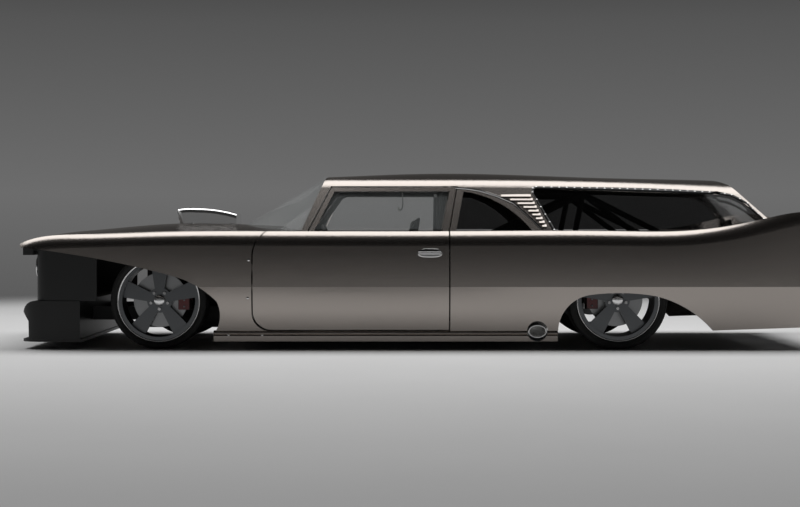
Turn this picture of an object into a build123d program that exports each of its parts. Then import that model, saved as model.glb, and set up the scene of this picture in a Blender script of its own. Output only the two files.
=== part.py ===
"""Low two-door estate race car: lofted body panels on a frame, with steering, doors, hood and tailgate.

Millimetres. +X to the rear, +Y to the car's right, +Z up. The origin is on the floor, at the middle of
the car's length and width.
"""
import os
from math import atan2, cos, degrees, hypot, pi, radians, sin

from build123d import *

# Overall form
LENGTH = 5272.0
WHEELBASE = 2997.0
FRONT_OVERHANG = 893.0
HALF_WIDTH = 985.0
BELT_Z = 771.0
BODY_BOTTOM = 125.0
CREASE_Z = 411.0
NOSE_X = -LENGTH / 2
TAIL_X = LENGTH / 2
FRONT_AXLE_X = NOSE_X + FRONT_OVERHANG
REAR_AXLE_X = FRONT_AXLE_X + WHEELBASE

# Walls and gaps
SKIN = 24.0
DOOR_THICKNESS = 70.0
ROOF_SKIN = 34.0
PANEL_GAP = 9.0
SEAT_GAP = 0.3
GLASS = 5.0
SHEET = 20.0

# Panel lines
HOOD_FRONT_X = NOSE_X + 76.0
COWL_X = NOSE_X + 1355.0
DOOR_FRONT_X = NOSE_X + 1520.0
DOOR_LENGTH = 1268.0
DOOR_REAR_X = DOOR_FRONT_X + DOOR_LENGTH
DOOR_BOTTOM_Z = 132.0
DOOR_CORNER_R = 120.0
HOOD_HALF_WIDTH = 800.0
CABIN_HALF_WIDTH = 800.0

# Greenhouse
ROOF_TOP_Z = 1168.0
DRIP_Z = 1062.0
DRIP_HALF_WIDTH = 645.0
BASE_HALF_WIDTH = 852.0
SCREEN_FOOT_X = NOSE_X + 1824.0
ROOF_FRONT_X = NOSE_X + 1975.0
ROOF_REAR_X = NOSE_X + 4693.0
TAILGATE_TOP_X = NOSE_X + 4977.0
TAILGATE_FOOT_X = NOSE_X + 5086.0
TAILGATE_TOP_Z = 764.0
TAILGATE_FOOT_Z = 345.0

# Running gear
FRONT_TYRE_R = 318.0
REAR_TYRE_R = 324.0
FRONT_TYRE_WIDTH = 205.0
REAR_TYRE_WIDTH = 285.0
RIM_R = 272.0
RIM_SEAT_R = 252.0
FRONT_HALF_TRACK = 735.0
REAR_HALF_TRACK = 755.0
KINGPIN_HALF_TRACK = 610.0
SPOKES = 5
HUB_R = 68.0
DISC_R = 178.0
DISC_THICKNESS = 26.0
SPINDLE_R = 26.0
RUN_CLEARANCE = 0.5

# Door, windows and arches
DOOR_SHOULDER_Z = 620.0
DOOR_TOP_SWEEP = 85.0
FRAME_BAR = 27.0
FRAME_POST = 40.0
FRAME_SLANT = 0.27
FRAME_FOOT_FRONT_X = SCREEN_FOOT_X + 52.0
FRAME_TOP_FRONT_X = SCREEN_FOOT_X + 196.0
FRAME_TOP_REAR_X = DOOR_REAR_X + 56.0
WINDOW_POST = 40.0
QUARTER_WINDOW_LENGTH = 500.0
LOAD_FRONT_X = DOOR_REAR_X + 546.0
BROW_Z = 665.0
REAR_ARCH_Z = 372.0
TAIL_RISE = 27.0
HINGE_PIN_R = 4.0
HINGE_INSET_X = 28.0
HINGE_INSET_Y = 18.0
HINGE_HEIGHTS = (410.0, 535.0)
HINGE_NOTCH = 60.0

# Scoop, exhaust and lower edges
SCOOP_X = NOSE_X + 925.0
SCOOP_LENGTH = 414.0
SCOOP_HALF_WIDTH = 190.0
SCOOP_TOP_Z = 932.0
EXHAUST_X = REAR_AXLE_X - 528.0
EXHAUST_Z = 122.0
EXHAUST_R = 58.0
SKIRT_BOTTOM_Z = 55.0
FLOOR_Z = 72.0
SPLITTER_Z = 50.0
BUMPER_Z = 316.0
FAR = 1400.0
PILLAR_FOOT_Y = 861.0
HOOD_LEDGE = 40.0
DASH_OPENING = 735.0
SILL_Y = HALF_WIDTH - 125.0

# Front end, chassis and cabin
BUMPER_REAR_X = NOSE_X + 386.0
BUMPER_HALF_WIDTH = 880.0
FASCIA_X = NOSE_X + 91.0
LAMP_R = 68.0
LAMP_Z = 540.0
LAMP_SPOTS = (590.0, 732.0)
GRILLE_HALF_WIDTH = 500.0
FIREWALL_X = NOSE_X + 1436.0
BULKHEAD_X = DOOR_REAR_X + 460.0
DECK_Z = 460.0
TUB_HALF_LENGTH = 355.0
TUB_INNER_Y = 570.0
TUB_TOP_Z = 680.0
RAIL_Y = (330.0, 400.0)
RAIL_Z = (170.0, 260.0)
REAR_RAIL_Y = (400.0, 470.0)
HOOP_X = DOOR_REAR_X - 50.0
APEX_X = REAR_AXLE_X - 190.0
CAGE_R = 22.0
EYE_R = 14.0
LOUVRES = 9
LOUVRE_LOW_Z = BELT_Z + 30.0
LOUVRE_PITCH = 25.0
LOUVRE_HEIGHT = 15.0
LOUVRE_LIFT = 9.0


def mirrored(shape):
    """The same shape on the other side of the car."""
    return mirror(shape, about=Plane.XZ)


def both(shape):
    """A shape and its mirror image, as two solids of one piece."""
    return Compound([shape, mirrored(shape)])


def box(x, y, z):
    """Block between three (low, high) pairs."""
    centre = [sum(pair) / 2 for pair in (x, y, z)]
    return Pos(*centre) * Box(x[1] - x[0], y[1] - y[0], z[1] - z[0])


def outline(start, steps):
    """Closed outline in a side view: each step is an end point, or a middle and an end point of an arc."""
    edges, here = [], start
    for step in steps:
        if len(step) == 2 and isinstance(step[0], tuple):
            edges.append(ThreePointArc(here, step[0], step[1]))
            here = step[1]
        else:
            edges.append(Line(here, step))
            here = step
    return make_face(edges)


def across(face, y):
    """Side-view face (x, z) pushed through the car from y[0] to y[1]."""
    placed = Plane(origin=(0, y[0], 0), x_dir=(1, 0, 0), z_dir=(0, -1, 0)) * face
    return extrude(placed, amount=y[1] - y[0], dir=(0, 1, 0))


def upright(face, z):
    """Plan-view face (x, y) raised from z[0] to z[1]."""
    return extrude(Pos(0, 0, z[0]) * face, amount=z[1] - z[0])


def lengthwise(face, x):
    """Front-view face (y, z) pushed along the car from x[0] to x[1]."""
    placed = Plane(origin=(x[0], 0, 0), x_dir=(0, 1, 0), z_dir=(1, 0, 0)) * face
    return extrude(placed, amount=x[1] - x[0])


def tube(points, radius, bend=90.0):
    """Round bar along straight runs with rounded corners."""
    path = FilletPolyline(*points, radius=bend) if len(points) > 2 else Line(*points)
    start = Plane(origin=path @ 0, z_dir=path % 0)
    return sweep(start * Circle(radius), path=path)


def disc(radius, x, y, z, bore=0.0):
    """Round plate about the car's cross axis, from y[0] to y[1]."""
    ring = Circle(radius) - Circle(bore) if bore else Circle(radius)
    return across(Pos(x, z) * ring, y)


# Body sections. Station, then how far inside HALF_WIDTH the sill, crease, shoulder, crest and deck edge
# lie, then heights above BELT_Z of the shoulder, crest, deck edge and deck middle, then the side's lean
# below the crease
BODY_SECTIONS = [
    # station             sill crease shoulder crest deck  z_sh  z_crest z_deck z_mid  lean
    (NOSE_X, 105.0, 55.0, 60.0, 100.0, 195.0, -159.0, -81.0, -77.0, -65.0, 0.02),
    (NOSE_X + 106.0, 85.0, 35.0, 42.0, 90.0, 185.0, -131.0, -44.0, -42.0, -27.0, 0.02),
    (NOSE_X + 366.0, 70.0, 15.0, 25.0, 85.0, 179.0, -109.0, -21.0, -17.0, 9.0, 0.02),
    (FRONT_AXLE_X, 65.0, 2.0, 15.0, 82.0, 179.0, -95.0, -4.0, 2.0, 52.0, 0.02),
    (NOSE_X + 1636.0, 60.0, 0.0, 14.0, 80.0, 179.0, -95.0, 0.0, 3.0, 35.0, 0.02),
    (NOSE_X + 2836.0, 60.0, 0.0, 14.0, 80.0, 179.0, -95.0, 0.0, 2.0, 12.0, 0.03),
    (REAR_AXLE_X, 67.0, 0.0, 14.0, 80.0, 179.0, -95.0, 0.0, 2.0, 12.0, 0.20),
    (TAIL_X - 946.0, 73.0, 2.0, 16.0, 77.0, 179.0, -91.0, 2.0, 2.0, 12.0, 0.22),
    (TAIL_X - 496.0, 80.0, 9.0, 24.0, 65.0, 155.0, -26.0, 67.0, 4.0, 14.0, 0.24),
    (TAIL_X, 95.0, 29.0, 44.0, 76.0, 135.0, 29.0, 101.0, 4.0, 14.0, 0.26),
]
CREST_PULL = 0.8


def body_wire(row, inset):
    """Closed section of the body at one station, drawn inset from the outer skin."""
    x, sill, crease, shoulder, crest, deck, z_sh, z_crest, z_deck, z_mid, lean = row
    bottom = BODY_BOTTOM - 2 * inset
    tumble = 2 * (shoulder - crease) / (BELT_Z + z_sh - CREASE_Z)
    half = {
        "sill": (sill + inset, bottom),
        "crease": (crease + inset, CREASE_Z),
        "shoulder": (shoulder + inset, BELT_Z + z_sh),
        "crest": (crest + CREST_PULL * inset, BELT_Z + z_crest - inset),
        "deck": (deck + CREST_PULL * inset, BELT_Z + z_deck - inset),
    }
    edges = []
    for side in (1, -1):
        at = {name: Vector(x, side * (HALF_WIDTH - d), z) for name, (d, z) in half.items()}
        top = Vector(x, 0, BELT_Z + z_mid - inset)
        chain = [
            Edge.make_line(Vector(x, 0, bottom), at["sill"]),
            Edge.make_tangent_arc(at["crease"], Vector(0, -side * lean, -1), at["sill"]),
            Edge.make_tangent_arc(at["crease"], Vector(0, 0, 1), at["shoulder"]),
            Edge.make_tangent_arc(at["shoulder"], Vector(0, -side * tumble, 1), at["crest"]),
            Edge.make_line(at["crest"], at["deck"]),
            Edge.make_tangent_arc(top, Vector(0, side, 0), at["deck"]),
        ]
        edges += chain if side == 1 else chain[::-1]
    return Wire(edges)


def body_form(inset):
    """The whole lower body as one solid, inset from the outer skin."""
    return Solid.make_loft([body_wire(row, inset) for row in BODY_SECTIONS])


# Greenhouse sections: station, drop of the drip line and of the roof middle, narrowing of the drip line
ROOF_SECTIONS = [
    # station                drip  middle narrower
    (SCREEN_FOOT_X - 60.0, 0.0, 26.0, 10.0),
    (ROOF_FRONT_X, 0.0, 22.0, 10.0),
    (NOSE_X + 2500.0, 0.0, 0.0, 0.0),
    (NOSE_X + 3400.0, 4.0, 10.0, 0.0),
    (NOSE_X + 4200.0, 24.0, 34.0, 10.0),
    (NOSE_X + 4940.0, 56.0, 70.0, 30.0),
]
ROOF_EDGE_IN = 95.0
ROOF_EDGE_UP = 62.0


def roof_wire(row, inset):
    """Closed section of the greenhouse at one station, inset from its outer skin."""
    x, drip_drop, middle_drop, narrower = row
    foot_z = BELT_Z - SKIN - 2 * inset
    drip = (DRIP_HALF_WIDTH - narrower - inset, DRIP_Z - drip_drop)
    edge = (drip[0] - ROOF_EDGE_IN, drip[1] + ROOF_EDGE_UP - inset)
    top = Vector(x, 0, ROOF_TOP_Z - middle_drop - inset)
    foot = (BASE_HALF_WIDTH - inset + (BELT_Z - foot_z) * 0.6, foot_z)
    edges = []
    for side in (1, -1):
        at_foot, at_drip, at_edge = (Vector(x, side * y, z) for y, z in (foot, drip, edge))
        chain = [
            Edge.make_line(Vector(x, 0, foot_z), at_foot),
            Edge.make_line(at_foot, at_drip),
            Edge.make_tangent_arc(at_drip, at_drip - at_foot, at_edge),
            Edge.make_tangent_arc(top, Vector(0, side, 0), at_edge),
        ]
        edges += chain if side == 1 else chain[::-1]
    return Wire(edges)


def roof_form(inset):
    """The greenhouse as one solid, inset from its outer skin."""
    return Solid.make_loft([roof_wire(row, inset) for row in ROOF_SECTIONS])


def largest(shape):
    """The biggest solid of a cut shape."""
    return max(shape.solids(), key=lambda s: s.volume)


def slanted(face, y, slope):
    """Side-view face pushed across the car along a line that runs rearward as it goes outward."""
    shift = slope * (y[0] - BASE_HALF_WIDTH)
    placed = Plane(origin=(shift, y[0], 0), x_dir=(1, 0, 0), z_dir=(0, -1, 0)) * face
    step = Vector(slope, 1, 0) * (y[1] - y[0])
    return extrude(placed, amount=step.length, dir=step.normalized())


def door_face(grow=0.0):
    """Outline of the door's shut lines, larger by grow."""
    front, rear = DOOR_FRONT_X - grow, DOOR_REAR_X + grow
    bottom, top = DOOR_BOTTOM_Z - grow, BELT_Z + SKIN
    turn = DOOR_CORNER_R * (1 - sin(pi / 4))
    shoulder_mid = (DOOR_SHOULDER_Z + BELT_Z) / 2
    return outline(
        (rear, bottom),
        [
            (front + DOOR_CORNER_R, bottom),
            ((front + turn, bottom + turn), (front, bottom + DOOR_CORNER_R)),
            (front, DOOR_SHOULDER_Z),
            ((front + DOOR_TOP_SWEEP / 4, shoulder_mid), (front + DOOR_TOP_SWEEP, BELT_Z)),
            (front + DOOR_TOP_SWEEP, top),
            (rear, top),
            (rear, bottom),
        ],
    )


def frame_face(grow=0.0, foot=0.0, rear=0.0):
    """Outline of the door's window frame, larger by grow, with its foot sunk into the door."""
    foot_z, top_z = BELT_Z - foot, DRIP_Z + grow
    lean_in = FRAME_SLANT * (BASE_HALF_WIDTH - DRIP_HALF_WIDTH)
    rise = DRIP_Z - BELT_Z
    front_lean = (FRAME_TOP_FRONT_X + lean_in - FRAME_FOOT_FRONT_X) / rise
    rear_lean = (FRAME_TOP_REAR_X + lean_in - DOOR_REAR_X) / rise
    front, back = FRAME_FOOT_FRONT_X - grow * 1.2, DOOR_REAR_X + grow - rear
    corners = [
        (front - front_lean * foot, foot_z),
        (front + front_lean * (top_z - BELT_Z), top_z),
        (back + rear_lean * (top_z - BELT_Z), top_z),
        (back - rear_lean * foot, foot_z),
    ]
    return outline(corners[0], corners[1:] + corners[:1])


def quarter_window():
    """Outline of the small fixed side window between the door and the louvred panel."""
    front = DOOR_REAR_X + PANEL_GAP + WINDOW_POST
    top_front = FRAME_TOP_REAR_X + PANEL_GAP + WINDOW_POST
    rear = front + QUARTER_WINDOW_LENGTH
    rise = DRIP_Z - BELT_Z
    middle = (front + 0.62 * QUARTER_WINDOW_LENGTH, BELT_Z + 0.6 * rise)
    return outline(
        (front, BELT_Z),
        [(top_front, DRIP_Z - FRAME_BAR), (middle, (rear, BELT_Z)), (front, BELT_Z)],
    )


def load_window(shrink=0.0):
    """Outline of the long rear side window."""
    front, rear = LOAD_FRONT_X + shrink, TAILGATE_TOP_X - shrink
    low, high = BELT_Z + shrink, DRIP_Z - 10.0 - shrink
    return outline(
        (front + 150.0, low),
        [
            (front + 22.0, high - 32.0),
            ((front + 14.0, high - 10.0), (front + 48.0, high)),
            (ROOF_REAR_X - 117.0 - shrink, high - 37.0),
            ((ROOF_REAR_X - 3.0 - shrink, high - 58.0), (rear - 216.0, high - 103.0)),
            (rear - 121.0, high - 200.0),
            (rear - 97.0, low),
            (front + 150.0, low),
        ],
    )


def front_arch():
    """What the front fender's sweeping lower edge leaves open, from the nose back over the wheel."""
    low = -SKIN
    rear = FRONT_AXLE_X + 366.0
    return outline(
        (NOSE_X - SKIN, low),
        [
            (NOSE_X - SKIN, BROW_Z + 4.0),
            ((FRONT_AXLE_X - 400.0, BROW_Z - 68.0), (FRONT_AXLE_X + 103.0, BROW_Z - 181.0)),
            ((FRONT_AXLE_X + 282.0, BROW_Z - 258.0), (FRONT_AXLE_X + 394.0, BROW_Z - 348.0)),
            ((FRONT_AXLE_X + 414.0, BROW_Z - 430.0), (rear, BODY_BOTTOM - SKIN)),
            (rear, low),
            (NOSE_X - SKIN, low),
        ],
    )


def rear_arch():
    """The low wheel opening of the rear quarter, drawn out to a point behind the wheel."""
    front, rear = REAR_AXLE_X - 393.0, REAR_AXLE_X + 614.0
    low = -SKIN
    return outline(
        (front, low),
        [
            (front, BODY_BOTTOM),
            ((front + 55.0, REAR_ARCH_Z - 95.0), (REAR_AXLE_X - 200.0, REAR_ARCH_Z - 14.0)),
            ((REAR_AXLE_X + 10.0, REAR_ARCH_Z), (REAR_AXLE_X + 232.0, REAR_ARCH_Z - 20.0)),
            ((REAR_AXLE_X + 420.0, REAR_ARCH_Z - 92.0), (rear, BODY_BOTTOM)),
            (rear, low),
            (front, low),
        ],
    )


def tail_undercut():
    """The rising lower edge of the body behind the rear wheel."""
    start = REAR_AXLE_X + 600.0
    low = -SKIN
    corners = [
        (start, low),
        (start, BODY_BOTTOM),
        (TAIL_X + SKIN, BODY_BOTTOM + TAIL_RISE),
        (TAIL_X + SKIN, low),
    ]
    return outline(corners[0], corners[1:] + corners[:1])


def screen_cut():
    """Everything ahead of the sloping front edge of the roof pillars."""
    lean = (ROOF_FRONT_X - SCREEN_FOOT_X) / (DRIP_Z + ROOF_EDGE_UP - BELT_Z)
    low, high = 0.0, FAR
    corners = [
        (NOSE_X, low),
        (NOSE_X, high),
        (SCREEN_FOOT_X + lean * (high - BELT_Z), high),
        (SCREEN_FOOT_X + lean * (low - BELT_Z), low),
    ]
    return outline(corners[0], corners[1:] + corners[:1])


def tailgate_line_cut():
    """Everything behind the sloping rear edge of the roof pillars."""
    lean = (TAILGATE_TOP_X - ROOF_REAR_X) / (DRIP_Z - TAILGATE_TOP_Z)
    low, high = BELT_Z - 2 * SKIN, FAR
    corners = [
        (TAIL_X + FAR, low),
        (TAIL_X + FAR, high),
        (TAILGATE_TOP_X - lean * (high - TAILGATE_TOP_Z), high),
        (TAILGATE_TOP_X - lean * (low - TAILGATE_TOP_Z), low),
    ]
    return outline(corners[0], corners[1:] + corners[:1])


def make_body(nodes):
    """Fenders, hood, doors, quarters and roof, split from two lofts along the panel lines."""
    outer = body_form(0.0)
    skin = outer - body_form(SKIN)
    wall = outer - body_form(DOOR_THICKNESS)
    outboard = (CABIN_HALF_WIDTH - 300.0, FAR)
    cabin = box((SCREEN_FOOT_X - FAR, TAIL_X + SKIN), (-CABIN_HALF_WIDTH, CABIN_HALF_WIDTH), (0, FAR))
    door_opening = across(door_face(PANEL_GAP), outboard)

    side_strip = box((NOSE_X - SKIN, DOOR_REAR_X), (HOOD_HALF_WIDTH + PANEL_GAP, FAR), (0, FAR))
    fender = (skin & side_strip) - door_opening - across(front_arch(), (0, FAR))
    fender_front = box((NOSE_X - SKIN, DOOR_FRONT_X + DOOR_TOP_SWEEP), (0, FAR), (0, FAR))
    nodes["fender_right"] = largest(fender & fender_front)

    hood = skin & box((HOOD_FRONT_X, COWL_X), (-HOOD_HALF_WIDTH, HOOD_HALF_WIDTH), (BROW_Z, FAR))
    nodes["hood"] = largest(hood)

    quarter = skin & box((DOOR_REAR_X, TAIL_X), (0, FAR), (0, FAR))
    quarter += wall & box((DOOR_REAR_X, DOOR_REAR_X + 2 * DOOR_THICKNESS), (0, FAR), (0, FAR))
    quarter += outer & box((TAILGATE_TOP_X, TAIL_X), (0, FAR), (0, FAR))
    quarter -= door_opening + cabin
    quarter -= across(rear_arch(), (0, FAR)) + across(tail_undercut(), (0, FAR))
    quarter -= disc(EXHAUST_R + PANEL_GAP, EXHAUST_X, (0, FAR), EXHAUST_Z)
    nodes["quarter_right"] = largest(quarter)

    greenhouse = roof_form(0.0) - roof_form(ROOF_SKIN)
    door = (wall & across(door_face(), outboard)) - cabin
    window_side = (DRIP_HALF_WIDTH - 300.0, FAR)
    frame = greenhouse & slanted(frame_face(0.0, foot=SKIN), window_side, FRAME_SLANT)
    frame -= slanted(frame_face(-FRAME_BAR, rear=FRAME_POST - FRAME_BAR, foot=0.0), window_side, FRAME_SLANT)
    frame &= box((NOSE_X, TAIL_X), (0, FAR), (BELT_Z - SKIN, FAR))
    door += frame
    door -= box((NOSE_X, FRAME_FOOT_FRONT_X - SEAT_GAP), (0, PILLAR_FOOT_Y + PANEL_GAP), (DOOR_SHOULDER_Z, FAR))
    hinge_x, hinge_y = DOOR_FRONT_X + HINGE_INSET_X, HALF_WIDTH - HINGE_INSET_Y
    for z in HINGE_HEIGHTS:
        notch_z = (z - HINGE_NOTCH / 2, z + HINGE_NOTCH / 2)
        notch_y = (HALF_WIDTH - DOOR_THICKNESS - SKIN, hinge_y + HINGE_PIN_R + 6.0)
        door -= box((DOOR_FRONT_X - 1, hinge_x + HINGE_PIN_R + 8.0), notch_y, notch_z)
        door += upright(Pos(hinge_x, hinge_y) * Circle(HINGE_PIN_R), (notch_z[0] - 5, notch_z[1] + 5))
    nodes["door_right"] = largest(door)

    roof = greenhouse - body_form(-SEAT_GAP)
    roof -= across(screen_cut(), (-FAR, FAR)) + across(tailgate_line_cut(), (-FAR, FAR))
    for side in (1, -1):
        opening = slanted(frame_face(PANEL_GAP, foot=SKIN), window_side, FRAME_SLANT)
        opening += across(quarter_window(), window_side)
        opening += across(load_window(), window_side)
        roof -= opening if side == 1 else mirrored(opening)
    nodes["roof"] = largest(roof)
    return outer, skin


def screen_x(z):
    """Where the front edge of the roof pillars lies at one height."""
    lean = (ROOF_FRONT_X - SCREEN_FOOT_X) / (DRIP_Z + ROOF_EDGE_UP - BELT_Z)
    return SCREEN_FOOT_X + lean * (z - BELT_Z)


def crescent(side, middle_x, z):
    """Thin bowed glass section at one height, between two side points (x, y)."""
    bow = side[0] - middle_x
    radius = (side[1] ** 2 + bow**2) / (2 * bow)
    centre = middle_x + radius
    turn = atan2(side[1], centre - side[0])
    rings = []
    for r in (radius, radius - GLASS):
        rings.append([(centre - r * cos(a), r * sin(a)) for a in (-turn, 0.0, turn)])
    out, back = rings
    face = outline(out[0], [(out[1], out[2]), back[2], (back[1], back[0]), out[0]])
    return Pos(0, 0, z) * face


def make_glass(nodes):
    """Windscreen, fixed side windows, door glass and rear window."""
    low, high = BELT_Z - 11.0, ROOF_TOP_Z - 33.0
    tumble = (BASE_HALF_WIDTH - DRIP_HALF_WIDTH) / (DRIP_Z - BELT_Z)
    sections = []
    for z, bow in ((low, 515.0), (high, 34.0)):
        side_y = BASE_HALF_WIDTH - ROOF_SKIN / 2 - tumble * (z - BELT_Z)
        side_x = screen_x(z) - GLASS - SEAT_GAP
        sections.append(crescent((side_x, side_y), side_x - bow, z))
    nodes["windscreen"] = largest(loft(sections, ruled=True) - body_form(-SEAT_GAP))

    window_side = (DRIP_HALF_WIDTH - 300.0, FAR)
    pane = roof_form(ROOF_SKIN / 2) - roof_form(ROOF_SKIN / 2 + GLASS)
    pane &= box((NOSE_X, TAIL_X), (0, FAR), (BELT_Z + 12.0, FAR))
    fixed = []
    for face in (quarter_window(), load_window()):
        fixed.append(largest(pane & across(offset(face, amount=-SEAT_GAP), window_side)))
    nodes["side_windows"] = Compound(fixed + [mirrored(s) for s in fixed])
    opening = frame_face(-FRAME_BAR - SEAT_GAP, rear=FRAME_POST - FRAME_BAR)
    nodes["door_glass_right"] = largest(pane & slanted(opening, window_side, FRAME_SLANT))

    lean = (TAILGATE_TOP_X - ROOF_REAR_X) / (DRIP_Z - TAILGATE_TOP_Z)
    foot, top = TAILGATE_TOP_Z + PANEL_GAP, DRIP_Z - SKIN
    front = [TAILGATE_TOP_X - lean * (z - TAILGATE_TOP_Z) - 2 * SKIN for z in (foot, top)]
    corners = [(front[0], foot), (front[1], top), (front[1] + GLASS * 1.4, top), (front[0] + GLASS * 1.4, foot)]
    slab = across(outline(corners[0], corners[1:] + corners[:1]), (-FAR, FAR))
    nodes["rear_window"] = largest(slab & roof_form(ROOF_SKIN + SEAT_GAP))


def make_front(nodes, outer, skin):
    """Nose, grille, lamps, bumper, splitter, cowl with door posts, scoop and engine."""
    inner = body_form(SKIN + SEAT_GAP)
    reach = HOOD_HALF_WIDTH + PANEL_GAP - SEAT_GAP
    header_end = HOOD_FRONT_X - PANEL_GAP
    nose = outer & box((NOSE_X, header_end), (-reach, reach), (BROW_Z - 50.0, FAR))
    nose += inner & box((header_end - 1, HOOD_FRONT_X + HOOD_LEDGE), (-780, 780), (BROW_Z - 25.0, FAR))
    depth = FRONT_AXLE_X - 400.0 - FASCIA_X
    ring = Pos(FASCIA_X + depth, 0) * RectangleRounded(2 * depth, 2 * (BUMPER_HALF_WIDTH - 10.0), 90.0)
    wall = upright(ring - offset(ring, amount=-SHEET), (BUMPER_Z + SEAT_GAP, BROW_Z - 5.0))
    wall = wall & box((NOSE_X, FASCIA_X + depth), (-FAR, FAR), (0, FAR))
    nose += wall & inner
    front_slot = (FASCIA_X - 5, FASCIA_X + SHEET + 5)
    nose -= box(front_slot, (-GRILLE_HALF_WIDTH, GRILLE_HALF_WIDTH), (LAMP_Z - 130.0, LAMP_Z + 55.0))
    lamps = []
    for y in [s * spot for s in (1, -1) for spot in LAMP_SPOTS]:
        nose -= lengthwise(Pos(y, LAMP_Z) * Circle(LAMP_R + SEAT_GAP), front_slot)
        lamp = lengthwise(Pos(y, LAMP_Z) * Circle(LAMP_R), (FASCIA_X - 8, FASCIA_X + SHEET + 30))
        lamps.append(fillet(lamp.edges().group_by(Axis.X)[0], 6.0))
    nodes["nose_panel"] = largest(nose)
    nodes["headlamps"] = Compound([s for lamp in lamps for s in lamp.solids()])

    bars = box((FASCIA_X + SHEET + SEAT_GAP, FASCIA_X + SHEET + 12), (-515, 515), (LAMP_Z - 150.0, LAMP_Z + 65.0))
    gaps = [LAMP_Z - 125.0 + 36.0 * i for i in range(5)]
    for z in gaps:
        bars -= box((FASCIA_X, FASCIA_X + FAR), (-490, 490), (z, z + 26.0))
    nodes["grille"] = bars

    tip, heel, dam = BUMPER_Z - 73.0, BUMPER_Z - 132.0, SPLITTER_Z + 18.0
    profile = outline(
        (BUMPER_REAR_X, BUMPER_Z),
        [
            (NOSE_X + 96.0, BUMPER_Z),
            ((NOSE_X + 34.0, BUMPER_Z - 18.0), (NOSE_X, tip)),
            (NOSE_X + 43.0, heel),
            (NOSE_X + 46.0, dam),
            (BUMPER_REAR_X, dam),
            (BUMPER_REAR_X, BUMPER_Z),
        ],
    )
    plan = Pos(NOSE_X + 580.0, 0) * RectangleRounded(1200.0, 2 * BUMPER_HALF_WIDTH, 170.0)
    bumper = across(profile, (-BUMPER_HALF_WIDTH, BUMPER_HALF_WIDTH)) & upright(plan, (0, FAR))
    lug = box((NOSE_X + 2.0, NOSE_X + 60.0), (-10, 10), (dam + 20.0, dam + 75.0))
    bumper += lug
    nodes["front_bumper"] = bumper - disc(EYE_R, NOSE_X + 22.0, (-20, 20), dam + 48.0)
    blade = upright(plan, (SPLITTER_Z, dam - SEAT_GAP))
    nodes["splitter"] = blade & box((NOSE_X, BUMPER_REAR_X + 10), (-FAR, FAR), (0, FAR))

    post_end = DOOR_FRONT_X - PANEL_GAP
    cowl = skin & box((COWL_X + PANEL_GAP, FRAME_FOOT_FRONT_X - PANEL_GAP), (-reach, reach), (DOOR_SHOULDER_Z, FAR))
    side_cowl = (DOOR_FRONT_X + DOOR_TOP_SWEEP - 5, FRAME_FOOT_FRONT_X - PANEL_GAP)
    cowl += skin & box(side_cowl, (-PILLAR_FOOT_Y, PILLAR_FOOT_Y), (DOOR_SHOULDER_Z, FAR))
    ledge = (COWL_X + PANEL_GAP, COWL_X + PANEL_GAP + 30.0)
    cowl += body_form(SKIN - 1) & box(ledge, (-780, 780), (BELT_Z - 2 * SKIN, FAR))
    cowl += inner & box((COWL_X - HOOD_LEDGE, ledge[1]), (-780, 780), (BELT_Z - 2 * SKIN, FAR))
    cowl -= box((COWL_X + 295.0, FAR), (-DASH_OPENING, DASH_OPENING), (DOOR_SHOULDER_Z, FAR))
    sill_z = BODY_BOTTOM + 5.0
    wall_x = (FIREWALL_X, FIREWALL_X + SHEET)
    wall = box(wall_x, (-FAR, FAR), (sill_z, FAR))
    post = box((FIREWALL_X, post_end), (HALF_WIDTH - 150.0, FAR), (sill_z, BELT_Z - 2 * SKIN))
    cowl += body_form(SKIN - 1) & box(wall_x, (-reach, reach), (sill_z, FAR))
    cowl += (wall + both(post)) & inner
    cowl += box(wall_x, (-SILL_Y + SEAT_GAP, SILL_Y - SEAT_GAP), (FLOOR_Z, sill_z + SHEET))
    hinge_x, hinge_y = DOOR_FRONT_X + HINGE_INSET_X, HALF_WIDTH - HINGE_INSET_Y
    for z in HINGE_HEIGHTS:
        tall = (z - HINGE_NOTCH / 3, z + HINGE_NOTCH / 3)
        leaf = box((post_end - 60, hinge_x + 4), (hinge_y - 36, hinge_y - 28), tall)
        leaf += box((hinge_x - 4, hinge_x + 4), (hinge_y - 36, hinge_y - 2), tall)
        leaf += upright(Pos(hinge_x, hinge_y) * Circle(HINGE_PIN_R + 3.0), tall)
        leaf -= upright(Pos(hinge_x, hinge_y) * Circle(HINGE_PIN_R + SEAT_GAP), (z - FAR, z + FAR))
        cowl += leaf + mirrored(leaf)
    nodes["cowl"] = largest(cowl)

    rear = SCOOP_X + SCOOP_LENGTH
    low = BELT_Z + 20.0
    profile = outline(
        (SCOOP_X + 28.0, low),
        [
            (SCOOP_X, SCOOP_TOP_Z - 8.0),
            ((SCOOP_X + 60.0, SCOOP_TOP_Z), (SCOOP_X + 135.0, SCOOP_TOP_Z)),
            ((SCOOP_X + 290.0, SCOOP_TOP_Z - 12.0), (rear, SCOOP_TOP_Z - 40.0)),
            (rear, low),
            (SCOOP_X + 28.0, low),
        ],
    )
    scoop = across(profile, (-SCOOP_HALF_WIDTH, SCOOP_HALF_WIDTH))
    scoop = fillet(scoop.edges().filter_by(lambda e: e.center().Z > low + 60 and abs(e.center().Y) > 50), 34.0)
    mouth = RectangleRounded(2 * SCOOP_HALF_WIDTH - 36, SCOOP_TOP_Z - low - 62, 24.0)
    mouth = lengthwise(Pos(0, (SCOOP_TOP_Z + low) / 2 + 14.0) * mouth, (SCOOP_X - 10, SCOOP_X + 130))
    nodes["scoop"] = largest(scoop - mouth - body_form(-SEAT_GAP))

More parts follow.
